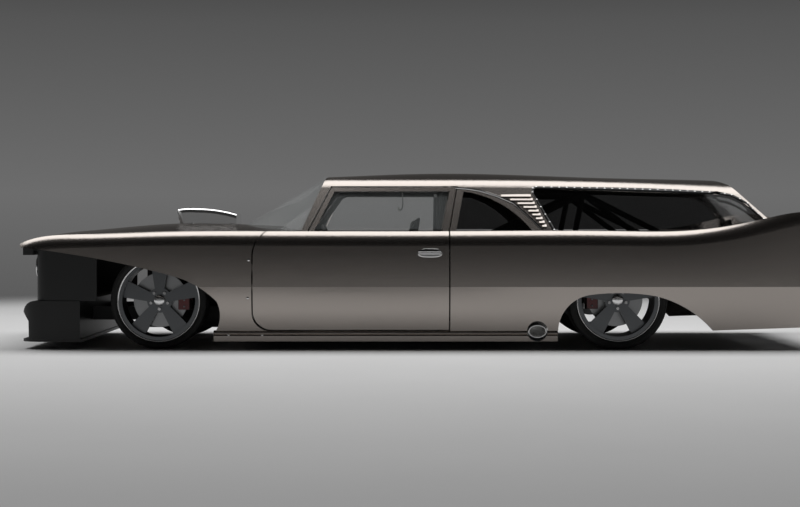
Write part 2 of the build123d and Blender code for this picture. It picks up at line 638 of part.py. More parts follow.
    block = box((FRONT_AXLE_X - 160, FIREWALL_X - 110), (-250, 250), (RAIL_Z[0] - 60, BROW_Z + 20))
    feet = box((FRONT_AXLE_X + 90, FRONT_AXLE_X + 190), (-RAIL_Y[0] + SEAT_GAP, RAIL_Y[0] - SEAT_GAP), RAIL_Z)
    nodes["engine"] = block + feet


def make_rear(nodes):
    """Tailgate, rear bumper, tail lamps and the cuts they need in the quarters."""
    width = CABIN_HALF_WIDTH - PANEL_GAP
    lean = (TAILGATE_FOOT_X - TAILGATE_TOP_X) / (TAILGATE_TOP_Z - TAILGATE_FOOT_Z)
    thick = 1.8 * SKIN
    corners = [
        (TAILGATE_FOOT_X, TAILGATE_FOOT_Z),
        (TAILGATE_TOP_X, TAILGATE_TOP_Z),
        (TAILGATE_TOP_X - thick, TAILGATE_TOP_Z),
        (TAILGATE_FOOT_X - thick, TAILGATE_FOOT_Z),
    ]
    gate = across(outline(corners[0], corners[1:] + corners[:1]), (-width, width))
    axis = (TAILGATE_FOOT_X - thick / 2, TAILGATE_FOOT_Z)
    gate += disc(thick / 2, axis[0], (-width, width), axis[1])
    pin = CABIN_HALF_WIDTH + 15.0
    gate += disc(9.0, axis[0], (-pin, pin), axis[1])
    nodes["tailgate"] = gate
    bore = disc(9.0 + SEAT_GAP, axis[0], (0, pin + SEAT_GAP), axis[1])

    lamp_y, lamp_z = (CABIN_HALF_WIDTH + 22.0, CABIN_HALF_WIDTH + 82.0), (CREASE_Z + 60.0, BELT_Z - 90.0)
    lamp = box((TAIL_X - 25.0, TAIL_X), lamp_y, lamp_z)
    grown = [(pair[0] - SEAT_GAP, pair[1] + SEAT_GAP) for pair in (lamp_y, lamp_z)]
    pocket = box((TAIL_X - 25.0 - SEAT_GAP, TAIL_X + 5), *grown)
    nodes["tail_lamps"] = both(lamp)
    nodes["quarter_right"] = largest(nodes["quarter_right"] - bore - pocket)

    reach = CABIN_HALF_WIDTH - SEAT_GAP
    bumper = box((TAILGATE_FOOT_X, TAIL_X - 30.0), (-reach, reach), (CREASE_Z - 210.0, TAILGATE_FOOT_Z - 35.0))
    bumper = fillet(bumper.edges().filter_by(Axis.Y).sort_by(Axis.X)[-2:], 26.0)
    eye_z = CREASE_Z - 291.0
    bumper += box((TAIL_X - 110.0, TAIL_X - 45.0), (-10, 10), (eye_z - 28.0, CREASE_Z - 205.0))
    nodes["rear_bumper"] = bumper - disc(EYE_R, TAIL_X - 75.0, (-20, 20), eye_z)


def make_wheel(nodes, corner, x, y, z, tyre_r, width):
    """Tyre, spoked wheel and brake disc of one right-hand corner; the left one is its mirror image."""
    half, bead = width / 2, width / 2 - 20.0
    section = outline(
        (RIM_SEAT_R, -bead),
        [
            ((RIM_R + 14.0, -half + 5.0), (tyre_r - 22.0, -half)),
            ((tyre_r - 5.0, -half + 8.0), (tyre_r, -half + 30.0)),
            (tyre_r, half - 30.0),
            ((tyre_r - 5.0, half - 8.0), (tyre_r - 22.0, half)),
            ((RIM_R + 14.0, half - 5.0), (RIM_SEAT_R, bead)),
            (RIM_SEAT_R, -bead),
        ],
    )
    tyre = revolve(section, Axis.Y)
    seat = RIM_SEAT_R - SEAT_GAP
    barrel = outline(
        (seat - 13.0, -half + 12.0),
        [
            (seat, -half + 12.0),
            (seat, half - 16.0),
            (RIM_R - 6.0, half - 9.0),
            (RIM_R - 6.0, half - 3.0),
            (seat - 13.0, half - 3.0),
            (seat - 13.0, -half + 12.0),
        ],
    )
    wheel = revolve(barrel, Axis.Y)
    face_y = (half - 70.0, half - 44.0)
    spoke = Polygon((HUB_R, -30), (seat - 5, -58), (seat - 5, 58), (HUB_R, 30), align=None)
    star = Circle(HUB_R + 14.0)
    for i in range(SPOKES):
        star += Rot(0, 0, 90 + i * 360 / SPOKES) * spoke
    wheel += across(star & Circle(seat - 4), face_y)
    hat_end = face_y[0] - SEAT_GAP
    rotor_y = (-26.0, -26.0 + DISC_THICKNESS)
    rotor = disc(DISC_R, 0, rotor_y, 0) + disc(HUB_R + 6.0, 0, (rotor_y[0], hat_end), 0)
    rotor -= disc(SPINDLE_R + RUN_CLEARANCE, 0, (rotor_y[0] - 1, hat_end - 18.0), 0)
    for name, shape in (("tyre", tyre), ("wheel", wheel), ("brake_disc", rotor)):
        nodes[f"{name}_{corner}_right"] = Pos(x, y, z) * shape


def caliper(x, y, z, side):
    """Brake caliper block straddling a disc, on the given end of it (+1 behind, -1 ahead)."""
    rotor_low = y - 26.0
    ends = sorted((x + side * (DISC_R - 58.0), x + side * (DISC_R + 26.0)))
    block = box(ends, (rotor_low - 26.0, rotor_low + DISC_THICKNESS + 26.0), (z - 62.0, z + 62.0))
    slot = disc(DISC_R + 8.0, x, (rotor_low - 7.0, rotor_low + DISC_THICKNESS + 7.0), z)
    return block - slot


def make_running_gear(nodes):
    """Wheels, steered knuckles, control arms and the rear axle."""
    make_wheel(nodes, "front", FRONT_AXLE_X, FRONT_HALF_TRACK, FRONT_TYRE_R, FRONT_TYRE_R, FRONT_TYRE_WIDTH)
    make_wheel(nodes, "rear", REAR_AXLE_X, REAR_HALF_TRACK, REAR_TYRE_R, REAR_TYRE_R, REAR_TYRE_WIDTH)

    x, z, king = FRONT_AXLE_X, FRONT_TYRE_R, KINGPIN_HALF_TRACK
    pin_end = FRONT_HALF_TRACK + FRONT_TYRE_WIDTH / 2 - 70.0 - SEAT_GAP - 20.0
    knuckle = box((x - 40, x + 40), (king - 28, king + 28), (z - 105, z + 105))
    knuckle += disc(SPINDLE_R, x, (king, pin_end), z)
    knuckle += upright(Pos(x, king) * Circle(14.0), (z - 150, z + 150))
    knuckle += box((x, x + DISC_R - 40.0), (king, king + 28), (z - 35, z + 35))
    knuckle += box((x + DISC_R - 58.0, x + DISC_R - 20.0), (king, FRONT_HALF_TRACK - 40), (z - 50, z + 50))
    nodes["knuckle_right"] = knuckle + caliper(x, FRONT_HALF_TRACK, z, 1)

    arms = []
    for low in (z - 150, z + 118):
        arm = box((x - 45, x + 45), (RAIL_Y[1] + SEAT_GAP, king + 25), (low, low + 32))
        arm -= upright(Pos(x, king) * Circle(14.0 + SEAT_GAP), (low - 5, low + 40))
        arms += [arm, mirrored(arm)]
    nodes["front_arms"] = Compound([s for arm in arms for s in arm.solids()])

    x, z = REAR_AXLE_X, REAR_TYRE_R
    spindle = REAR_HALF_TRACK + REAR_TYRE_WIDTH / 2 - 70.0 - SEAT_GAP - 20.0
    axle = disc(46.0, x, (-585, 585), z) + disc(SPINDLE_R, x, (-spindle, spindle), z)
    axle += disc(118.0, x, (-95, 95), z)
    for side in (1, -1):
        link = sorted((side * 300.0, side * 340.0))
        axle += box((BULKHEAD_X + SHEET + SEAT_GAP, x), link, (z - 45, z - 5))
        arm = box((x - DISC_R + 20.0, x), (555, 585), (z - 35, z + 35))
        arm += box((x - DISC_R + 20.0, x - DISC_R + 58.0), (555, REAR_HALF_TRACK - 40), (z - 50, z + 50))
        arm += caliper(x, REAR_HALF_TRACK, z, -1)
        axle += arm if side == 1 else mirrored(arm)
    nodes["rear_axle"] = axle


def make_chassis(nodes):
    """Rails, floor with wheel tubs, side skirts, exhausts and roll cage."""
    inner = body_form(SKIN + SEAT_GAP)
    start = BUMPER_REAR_X + SEAT_GAP
    rail = box((start, FIREWALL_X - SEAT_GAP), RAIL_Y, RAIL_Z)
    rail += box((FRONT_AXLE_X - 70, FRONT_AXLE_X + 70), RAIL_Y, (RAIL_Z[0], FRONT_TYRE_R + 150))
    nodes["front_rails"] = both(rail)
    rear_end = TAILGATE_TOP_X - SEAT_GAP
    rail = box((BULKHEAD_X + SHEET + SEAT_GAP, rear_end), REAR_RAIL_Y, (DECK_Z - 80.0, DECK_Z - SEAT_GAP))
    rail += box((rear_end - 60, rear_end), REAR_RAIL_Y, (CREASE_Z - 205.0, DECK_Z - SEAT_GAP))
    rail += box((rear_end - 60, TAILGATE_FOOT_X - SEAT_GAP), REAR_RAIL_Y, (CREASE_Z - 205.0, CREASE_Z - 115.0))
    nodes["rear_rails"] = both(rail)

    reach = SILL_Y - SEAT_GAP
    floor = box((FIREWALL_X + SHEET + SEAT_GAP, BULKHEAD_X + 1), (-reach, reach), (FLOOR_Z, FLOOR_Z + SHEET))
    back = inner & box((BULKHEAD_X, BULKHEAD_X + SHEET), (-FAR, FAR), (BODY_BOTTOM, DECK_Z + SHEET))
    floor += back + box((BULKHEAD_X, BULKHEAD_X + SHEET), (-reach, reach), (FLOOR_Z, BODY_BOTTOM + SHEET))
    tub_x = (REAR_AXLE_X - TUB_HALF_LENGTH, REAR_AXLE_X + TUB_HALF_LENGTH)
    deck_end = TAILGATE_TOP_X - SEAT_GAP
    deck = box((BULKHEAD_X, deck_end), (-FAR, FAR), (DECK_Z, DECK_Z + SHEET))
    for side in (1, -1):
        hollow_y = sorted((side * (TUB_INNER_Y + SHEET), side * FAR))
        shell_y = sorted((side * TUB_INNER_Y, side * FAR))
        deck += box((tub_x[0] - SHEET, tub_x[1] + SHEET), shell_y, (DECK_Z, TUB_TOP_Z + SHEET))
        deck -= box(tub_x, hollow_y, (DECK_Z - 1, TUB_TOP_Z))
    nodes["floor"] = largest(floor + (deck & inner))

    bottom, top = SKIRT_BOTTOM_Z, BODY_BOTTOM - SEAT_GAP
    y_in, y_out = SILL_Y, HALF_WIDTH - 67.0
    corners = [
        (y_in, top),
        (y_out, top),
        (y_out + 7, top - 12),
        (y_out + 3, top - 20),
        (y_out - 6, top - 26),
        (y_out - 2, top - 34),
        (y_out - 10, bottom),
        (y_in, bottom),
    ]
    skirt = lengthwise(outline(corners[0], corners[1:] + corners[:1]), (FRONT_AXLE_X + 368.0, REAR_AXLE_X - 395.0))
    skirt -= disc(EXHAUST_R + PANEL_GAP, EXHAUST_X, (0, FAR), EXHAUST_Z)
    nodes["side_skirts"] = both(skirt)

    exit_y = HALF_WIDTH - 52.0
    muffler = box((BULKHEAD_X + SHEET + SEAT_GAP, EXHAUST_X + 90.0), (480.0, 590.0), (FLOOR_Z + 10, FLOOR_Z + 110))
    pipe = across(Pos(EXHAUST_X, EXHAUST_Z) * Ellipse(EXHAUST_R, 0.7 * EXHAUST_R), (560.0, exit_y))
    pipe -= across(Pos(EXHAUST_X, EXHAUST_Z) * Ellipse(EXHAUST_R - 7, 0.7 * EXHAUST_R - 7), (620.0, exit_y + 1))
    nodes["exhausts"] = both(muffler + pipe)

    foot, head = FLOOR_Z + SHEET + SEAT_GAP, DRIP_Z - 22.0
    deck_top = DECK_Z + SHEET + SEAT_GAP
    hoop = [(HOOP_X, -690, foot), (HOOP_X, -690, 680), (HOOP_X, -535, head), (HOOP_X, 535, head)]
    cage = tube(hoop + [(HOOP_X, 690, 680), (HOOP_X, 690, foot)], CAGE_R)
    cross = box((APEX_X - 20, APEX_X + 20), (-520, 520), (head - 40, head))
    cage += cross
    for y in (520.0, -520.0):
        apex = (APEX_X, y, head - 20)
        cage += tube([(HOOP_X, y, head), apex], CAGE_R)
        side = 690.0 if y > 0 else -690.0
        front = [(HOOP_X, y, head), (screen_x(head) + 110, y, head), (DOOR_FRONT_X + 240, side, 640)]
        cage += tube(front + [(DOOR_FRONT_X + 240, side, foot)], CAGE_R)
        ends = [(HOOP_X, side, 560.0), (APEX_X - 110, y, deck_top), (APEX_X + 720, y, deck_top)]
        for end in ends + [(TAILGATE_TOP_X - 200, y, deck_top)]:
            cage += tube([apex, end], CAGE_R - 3)
    keep = box((NOSE_X, BULKHEAD_X), (-FAR, FAR), (foot, FAR)) + box((BULKHEAD_X - 1, TAIL_X), (-FAR, FAR), (deck_top, FAR))
    nodes["roll_cage"] = largest(cage & keep)


def make_cabin(nodes):
    """Dash, steering wheel and two bucket seats."""
    inner = body_form(SKIN + SEAT_GAP)
    end = FRAME_FOOT_FRONT_X - 60.0
    dash = box((end - 165.0, end), (-590, 590), (560, FAR))
    nodes["dash"] = largest(dash & inner)
    seat_y = 370.0
    hub = (end + 190.0, -seat_y, 650.0)
    wheel = Pos(*hub) * Rot(0, 70, 0) * Torus(165.0, 14.0)
    wheel += Pos(*hub) * Rot(0, 70, 0) * (Box(30, 330, 10) + Box(330, 30, 10) + Cylinder(42, 16))
    wheel += tube([(end + SEAT_GAP, -seat_y, 590.0), hub], 18.0)
    wheel = wheel & box((end + SEAT_GAP, TAIL_X), (-FAR, FAR), (0, FAR))
    nodes["steering_wheel"] = largest(wheel)
    back_x = HOOP_X - 60.0
    floor_z = FLOOR_Z + SHEET + SEAT_GAP
    profile = outline(
        (back_x - 560.0, floor_z),
        [
            (back_x - 590.0, 300.0),
            (back_x - 200.0, 270.0),
            (back_x - 110.0, 830.0),
            ((back_x - 60.0, 880.0), (back_x - 10.0, 830.0)),
            (back_x - 90.0, floor_z),
            (back_x - 560.0, floor_z),
        ],
    )
    seat = across(profile, (seat_y - 240.0, seat_y + 240.0))
    scoop = box((back_x - 640.0, back_x - 175.0), (seat_y - 185.0, seat_y + 185.0), (262, 2000))
    nodes["seats"] = both(seat - scoop)


def make_trim(nodes):
    """Door handles and the louvres of the roof's side panels."""
    x, z = DOOR_REAR_X - 125.0, CREASE_Z + 219.0
    skin_y = HALF_WIDTH - 10.0
    bar = box((x - 75.0, x + 75.0), (skin_y - 20.0, skin_y + 14.0), (z - 9.0, z + 9.0))
    bar = fillet(bar.faces().sort_by(Axis.Y)[-1].edges(), 6.0)
    bar += disc(17.0, x + 62.0, (skin_y - 20.0, skin_y + 9.0), z)
    nodes["door_handle_right"] = largest(bar - body_form(-SEAT_GAP))

    rise = DRIP_Z - BELT_Z
    lean = (BASE_HALF_WIDTH - DRIP_HALF_WIDTH) / rise
    rear_foot_x = LOAD_FRONT_X + 110.0
    front_foot_x = DOOR_REAR_X + QUARTER_WINDOW_LENGTH + 136.0
    roof = roof_form(-SEAT_GAP)
    blades = []
    for i in range(LOUVRES):
        low = LOUVRE_LOW_Z + i * LOUVRE_PITCH
        up = (low - BELT_Z) / rise
        skin_y = BASE_HALF_WIDTH - lean * (low - BELT_Z)
        front_x = front_foot_x - 215.0 * up - 294.0 * up**4
        rear_x = rear_foot_x - 135.0 * up
        top = (skin_y - lean * LOUVRE_HEIGHT, low + LOUVRE_HEIGHT)
        corners = [(skin_y - 20.0, low), (skin_y + LOUVRE_LIFT, low), top, (top[0] - 20.0, top[1])]
        blade = lengthwise(outline(corners[0], corners[1:] + corners[:1]), (front_x, rear_x))
        blades.append(largest(blade - roof))
    nodes["louvres"] = Compound(blades + [mirrored(b) for b in blades])


def make_all():
    """Every piece of the car by name."""
    nodes = {}
    outer, skin = make_body(nodes)
    make_glass(nodes)
    make_front(nodes, outer, skin)
    make_rear(nodes)
    make_running_gear(nodes)
    make_chassis(nodes)
    make_cabin(nodes)
    make_trim(nodes)
    for name in [n for n in nodes if n.endswith("_right")]:
        nodes[name.replace("_right", "_left")] = mirrored(nodes[name])
    return nodes


if __name__ == "__main__":
    os.makedirs("parts", exist_ok=True)
    for name, shape in make_all().items():
        export_step(shape, f"parts/{name}.step")
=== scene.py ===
"""Low two-door estate race car: finishes, trim and running-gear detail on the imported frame."""

import logging
import math
from dataclasses import dataclass, field
from enum import Enum
from typing import Any, Iterable

import bmesh
import bpy
from mathutils import Matrix, Vector


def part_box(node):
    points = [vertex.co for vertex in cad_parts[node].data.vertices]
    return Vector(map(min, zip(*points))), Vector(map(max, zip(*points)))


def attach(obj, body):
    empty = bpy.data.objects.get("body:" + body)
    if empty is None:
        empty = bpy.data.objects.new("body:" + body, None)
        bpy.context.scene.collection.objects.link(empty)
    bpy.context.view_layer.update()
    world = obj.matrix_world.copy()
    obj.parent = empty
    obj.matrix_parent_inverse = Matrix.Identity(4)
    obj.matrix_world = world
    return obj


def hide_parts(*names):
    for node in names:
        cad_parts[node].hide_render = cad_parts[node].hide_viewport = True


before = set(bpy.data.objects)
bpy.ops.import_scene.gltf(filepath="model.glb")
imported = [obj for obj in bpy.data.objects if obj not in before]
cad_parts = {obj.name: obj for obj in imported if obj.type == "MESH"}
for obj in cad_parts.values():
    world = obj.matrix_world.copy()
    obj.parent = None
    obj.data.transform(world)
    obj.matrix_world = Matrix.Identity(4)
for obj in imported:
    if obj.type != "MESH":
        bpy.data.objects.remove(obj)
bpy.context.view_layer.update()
LOG = logging.getLogger("race_car")
MM = 0.001
SIDES: dict[str, int] = {"left": -1, "right": 1}
# Outer radius and width of the tyres at each end, metres
TYRES: dict[str, tuple[float, float]] = {"front": (0.318, 0.205), "rear": (0.324, 0.285)}
ALONG = Vector((1, 0, 0))
ACROSS = Vector((0, 1, 0))
UP = Vector((0, 0, 1))
# Where a ray towards the car starts, well outside it, metres
RAY_START = 3.0
# Faces that meet at more than this keep a hard edge
HARD_EDGE = math.radians(35)


def linear(hex_colour: str) -> tuple[float, float, float, float]:
    """Turn an sRGB hex value into linear RGBA.

    Args:
        hex_colour: Six hex digits, with or without a leading hash.

    Returns:
        Linear red, green, blue and an alpha of one.
    """
    digits = hex_colour.lstrip("#")
    parts = [int(digits[i : i + 2], 16) / 255 for i in (0, 2, 4)]
    curve = [c / 12.92 if c <= 0.04045 else ((c + 0.055) / 1.055) ** 2.4 for c in parts]
    return (curve[0], curve[1], curve[2], 1.0)


def add_node(
    tree: bpy.types.NodeTree, kind: str, values: dict[Any, Any], links: dict[Any, Any]
) -> bpy.types.Node:
    """Add one shader node with its settings and links.

    Args:
        tree: Node tree that takes the node.
        kind: Blender's node type name.
        values: Attribute or input name to value; an input index is also a key.
        links: Input name or index to the output socket that feeds it.

    Returns:
        The new node.
    """
    node = tree.nodes.new(kind)
    for key, value in values.items():
        if isinstance(key, str) and hasattr(node, key):
            setattr(node, key, value)
        else:
            node.inputs[key].default_value = value
    for key, socket in links.items():
        tree.links.new(socket, node.inputs[key])
    return node


class Pattern(Enum):
    """How a surface's grain runs."""

    SPECKLE = "speckle"
    BRUSHED_X = "brushed_x"
    TURNED = "turned"
    PEBBLE = "pebble"


@dataclass(frozen=True)
class Finish:
    """One real material and how its surface was made.

    Attributes:
        name: Material name.
        colour: Main colour, sRGB hex.
        tint: Second colour the grain wanders to, sRGB hex.
        metallic: 1 for bare metal.
        roughness: Middle roughness.
        spread: How far the roughness wanders either way.
        pattern: The grain's kind.
        grain_mm: Size of the grain.
        bump_mm: Height of the grain.
        coat: Clear lacquer over it.
        alpha: Below 1 for glass.
        coat_roughness: Roughness of the clear lacquer.
        relief: How strongly the grain's height bends the light.
        streak: Scale of a streaked grain along its streaks, as a share of its scale across them.
    """

    name: str
    colour: str
    tint: str
    metallic: float = 0.0
    roughness: float = 0.5
    spread: float = 0.06
    pattern: Pattern = Pattern.SPECKLE
    grain_mm: float = 6.0
    bump_mm: float = 0.02
    coat: float = 0.0
    alpha: float = 1.0
    coat_roughness: float = 0.12
    relief: float = 0.4
    streak: float = 0.02

    def material(self) -> bpy.types.Material:
        """Build the material once and give it back on later calls.

        Returns:
            The Blender material.
        """
        made = bpy.data.materials.get(self.name)
        if made:
            return made
        made = bpy.data.materials.new(self.name)
        made.use_nodes = True
        tree = made.node_tree
        shader = tree.nodes["Principled BSDF"]
        even = {
            "Metallic": self.metallic,
            "Coat Weight": self.coat,
            "Coat Roughness": self.coat_roughness,
            "Alpha": self.alpha,
        }
        for socket, value in even.items():
            shader.inputs[socket].default_value = value
        place = add_node(tree, "ShaderNodeTexCoord", {}, {})
        grain = self._grain(tree, place.outputs["Object"])
        colour = add_node(
            tree,
            "ShaderNodeMix",
            {"data_type": "RGBA", 6: linear(self.colour), 7: linear(self.tint)},
            {0: grain},
        )
        rough = add_node(
            tree,
            "ShaderNodeMapRange",
            {"To Min": max(0.02, self.roughness - self.spread), "To Max": self.roughness + self.spread},
            {"Value": grain},
        )
        bump = add_node(
            tree,
            "ShaderNodeBump",
            {"Strength": self.relief, "Distance": self.bump_mm * MM},
            {"Height": grain},
        )
        tree.links.new(colour.outputs[2], shader.inputs["Base Color"])
        tree.links.new(rough.outputs["Result"], shader.inputs["Roughness"])
        tree.links.new(bump.outputs["Normal"], shader.inputs["Normal"])
        return made

    def _grain(self, tree: bpy.types.NodeTree, coordinate: bpy.types.NodeSocket) -> bpy.types.NodeSocket:
        """Make the grain's height between 0 and 1.

        Args:
            tree: The material's node tree.
            coordinate: Position in metres.

        Returns:
            The socket that carries the grain.
        """
        per_metre = 1 / (self.grain_mm * MM)
        stretch = {Pattern.BRUSHED_X: (self.streak, 1.0, 1.0), Pattern.TURNED: (1.0, self.streak, 1.0)}
        scale = stretch.get(self.pattern, (1.0, 1.0, 1.0))
        mapped = add_node(
            tree, "ShaderNodeMapping", {"Scale": [per_metre * s for s in scale]}, {"Vector": coordinate}
        )
        where = {"Vector": mapped.outputs[0]}
        if self.pattern is Pattern.PEBBLE:
            cells = add_node(tree, "ShaderNodeTexVoronoi", {"feature": "SMOOTH_F1", "Scale": 1.0}, where)
            return cells.outputs["Distance"]
        noise = add_node(tree, "ShaderNodeTexNoise", {"Scale": 1.0, "Detail": 4.0, "Roughness": 0.6}, where)
        return noise.outputs["Fac"]


# Satin metallic lacquer on steel panels: flakes blur the reflections into soft bands.
# A real flake is far finer than 2 mm, and is drawn that coarse to show.
PAINT = Finish("satin_metallic_lacquer", "#a09994", "#a9a29c", 1.0, 0.245, 0.025, grain_mm=2.0, bump_mm=0.004)
# Satin black lacquer sprayed on panels: dull and even, with a slight orange peel
BLACK = Finish("satin_black_lacquer", "#0c0d0d", "#131414", 0.0, 0.42, 0.05, grain_mm=5.0, bump_mm=0.02)
# Black powder coat baked on tubes and chassis: a pebble that breaks up highlights.
# The pebble is drawn a few times its real size to show.
POWDER = Finish("black_powder_coat", "#101112", "#18191a", 0.0, 0.5, 0.06, Pattern.PEBBLE, 1.2, 0.03)
# Grey powder coat on the cage tubes: the same pebble, light enough to show through the glass
CAGE = Finish("grey_powder_coat", "#4a4b4c", "#565758", 0.2, 0.45, 0.06, Pattern.PEBBLE, 1.2, 0.03)
# Tinted float glass, flat from the melt: dark, with sharp reflections
TINTED = Finish(
    "tinted_float_glass", "#050505", "#070707", 0.0, 0.05, 0.01, grain_mm=300.0, bump_mm=0.0, alpha=0.5
)
# Clear float glass: seen by its reflections alone
GLASS = Finish(
    "clear_float_glass", "#c9cfcf", "#cdd3d3", 0.0, 0.04, 0.01, grain_mm=300.0, bump_mm=0.0, alpha=0.1
)
# Chromium plate over polished trim: a bright, sharp mirror
CHROME = Finish("chromium_plate", "#d6d6d6", "#dcdcdc", 1.0, 0.08, 0.02, grain_mm=20.0, bump_mm=0.003)
# Hand-polished aluminium casting: a mirror with faint waves
POLISHED = Finish("polished_aluminium", "#c9cacb", "#d4d5d6", 1.0, 0.12, 0.03, grain_mm=30.0, bump_mm=0.02)
# Machined and clear-coated wheel alloy: satin grey with faint streaks
ALLOY = Finish("satin_wheel_alloy", "#5f6163", "#6b6d6f", 1.0, 0.32, 0.05, Pattern.TURNED, 3.0, 0.01)
# Turned cast-iron brake rotor: a bright swept face
ROTOR = Finish("turned_iron_rotor", "#8d8e8f", "#a0a1a2", 1.0, 0.3, 0.06, Pattern.TURNED, 2.0, 0.02)
# As-cast iron: dark and dull, with the sand's grain
IRON = Finish("sand_cast_iron", "#3a3b3c", "#474849", 0.6, 0.6, 0.08, Pattern.PEBBLE, 3.0, 0.15)
# Moulded tyre rubber: black, dull and slightly dusty
RUBBER = Finish("moulded_tyre_rubber", "#0d0d0d", "#171716", 0.0, 0.72, 0.08, grain_mm=8.0, bump_mm=0.06)
# Brushed stainless tube of the exhausts: streaks along the car
STAINLESS = Finish("brushed_stainless", "#a9a9a7", "#b8b8b6", 1.0, 0.26, 0.06, Pattern.BRUSHED_X, 2.0, 0.01)
# Brake caliper enamel under a clear coat: deep red and glossy
CALIPER = Finish(
    "red_caliper_enamel", "#6d0f10", "#5c0c0d", 0.0, 0.3, 0.04, grain_mm=6.0, bump_mm=0.02, coat=0.5
)
# Moulded acrylic lens of the tail lamps: smooth, with a wet shine
RED_LENS = Finish(
    "red_acrylic_lens", "#7a0a08", "#8a0d0a", 0.0, 0.12, 0.02, grain_mm=10.0, bump_mm=0.02, coat=0.6
)
# Pressed glass of the headlamps: pale and shiny, with ripples from the mould
LAMP_LENS = Finish(
    "pressed_lamp_glass", "#cfd4d6", "#dfe3e4", 0.3, 0.08, 0.02, grain_mm=12.0, bump_mm=0.15, coat=0.8
)
# Moulded ABS of the dash: black and dull, grained like leather
ABS = Finish("grained_abs", "#121212", "#1b1b1b", 0.0, 0.6, 0.06, Pattern.PEBBLE, 1.5, 0.06)
# Gel-coated glass fibre of the seat shells: satin black with slight waves
SHELL = Finish("gel_coated_glass_fibre", "#121313", "#1a1b1b", 0.0, 0.35, 0.05, grain_mm=14.0, bump_mm=0.05)
# Napped suede round the steering wheel: dark, without a shine
SUEDE = Finish("napped_suede", "#1a1918", "#262422", 0.0, 0.85, 0.06, grain_mm=1.5, bump_mm=0.15)
# Embossed vinyl of the seat pads: a pebbled grain with a soft shine
VINYL = Finish("embossed_vinyl", "#191817", "#22211f", 0.0, 0.5, 0.06, Pattern.PEBBLE, 2.5, 0.12)
# Emulsion on the studio floor: pale and dull
PAINTED_FLOOR = Finish(
    "painted_studio_floor", "#ececec", "#efefef", 0.0, 0.6, 0.05, grain_mm=900.0, bump_mm=0.0
)
# Satin anodised aluminium of the grille and small trim: a soft grey shine
ANODISED = Finish(
    "satin_anodised_aluminium", "#77797b", "#828486", 1.0, 0.3, 0.04, Pattern.BRUSHED_X, 1.5, 0.01
)


def node_object(name: str) -> bpy.types.Object:
    """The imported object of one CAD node."""
    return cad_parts[name]


def paint_node(name: str, finish: Finish) -> None:
    """Give a CAD node its finish.

    Args:
        name: CAD node.
        finish: Finish for all its faces.
    """
    obj = node_object(name)
    obj.data.materials.clear()
    obj.data.materials.append(finish.material())
    LOG.info("finish %s on %s", finish.name, name)


def add_piece(
    name: str, mesh: bmesh.types.BMesh, finish: Finish, body: str, smooth: bool = True, split: bool = True
) -> bpy.types.Object:
    """Turn a bmesh into a piece that rides on a body.

    Args:
        name: Piece name.
        mesh: Geometry in metres in the frame's axes; freed here.
        finish: Its finish.
        body: CAD body it rides on.
        smooth: Shade smooth where faces meet at a low angle.
        split: Keep hard edges where they meet at a high one.

    Returns:
        The new object.
    """
    bmesh.ops.recalc_face_normals(mesh, faces=mesh.faces)
    data = bpy.data.meshes.new(name)
    mesh.to_mesh(data)
    mesh.free()
    obj = bpy.data.objects.new(name, data)
    bpy.context.scene.collection.objects.link(obj)
    data.materials.append(finish.material())
    if smooth:
        for face in data.polygons:
            face.use_smooth = True
    if smooth and split:
        obj.modifiers.new("edges", "EDGE_SPLIT").split_angle = HARD_EDGE
    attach(obj, body)
    LOG.info("piece %s rides %s", name, body)
    return obj


def skin_rings(mesh: bmesh.types.BMesh, rings: list[list[bmesh.types.BMVert]], closed: bool) -> None:
    """Join rings of vertices with quads, each ring to the next.

    Args:
        mesh: Takes the faces.
        rings: Rings with the same number of vertices.
        closed: Join the last ring to the first; otherwise both ends get a cap.
    """
    count = len(rings[0])
    for low, high in zip(rings, rings[1:] + rings[:1] if closed else rings[1:]):
        for k in range(count):
            after = (k + 1) % count
            mesh.faces.new((low[k], low[after], high[after], high[k]))
    if not closed:
        mesh.faces.new(rings[0][::-1])
        mesh.faces.new(rings[-1])


def sweep_into(
    mesh: bmesh.types.BMesh,
    path: list[Vector],
    radius: float,
    flat: float = 1.0,
    sides: int = 10,
    facing: Vector | None = None,
) -> None:
    """Sweep an oval section along a path into a bmesh; a path that ends where it starts is closed.

    Args:
        mesh: Takes the faces.
        path: Points in metres.
        radius: Half width in metres.
        flat: Height of the section over its width.
        sides: Corners of the section.
        facing: Direction that the section's height leans to; outward from the car if left out.
    """
    closed = (path[0] - path[-1]).length < MM / 1000
    path = path[:-1] if closed else path
    rings = []
    for i, point in enumerate(path):
        near = (i + 1) % len(path) if closed else min(i + 1, len(path) - 1)
        past = i - 1 if closed else max(i - 1, 0)
        ahead = (path[near] - path[past]).normalized()
        out = facing or ACROSS * (1 if point.y > 0 else -1)
        across = ahead.cross(out).normalized()
        up = across.cross(ahead).normalized()
        ring = []
        for k in range(sides):
            turn = 2 * math.pi * k / sides
            offset = across * radius * math.cos(turn) + up * radius * flat * math.sin(turn)
            ring.append(mesh.verts.new(point + offset))
        rings.append(ring)
    skin_rings(mesh, rings, closed)


def add_bar(
    name: str, path: list[Vector], radius: float, finish: Finish, body: str, flat: float = 1.0
) -> bpy.types.Object:
    """Lay a rounded moulding along a path.

    Args:
        name: Piece name.
        path: Points in metres.
        radius: Half width in metres.
        finish: Its finish.
        body: CAD body it rides on.
        flat: Height over width of the section.

    Returns:
        The new object.
    """
    mesh = bmesh.new()
    sweep_into(mesh, path, radius, flat)
    return add_piece(name, mesh, finish, body)


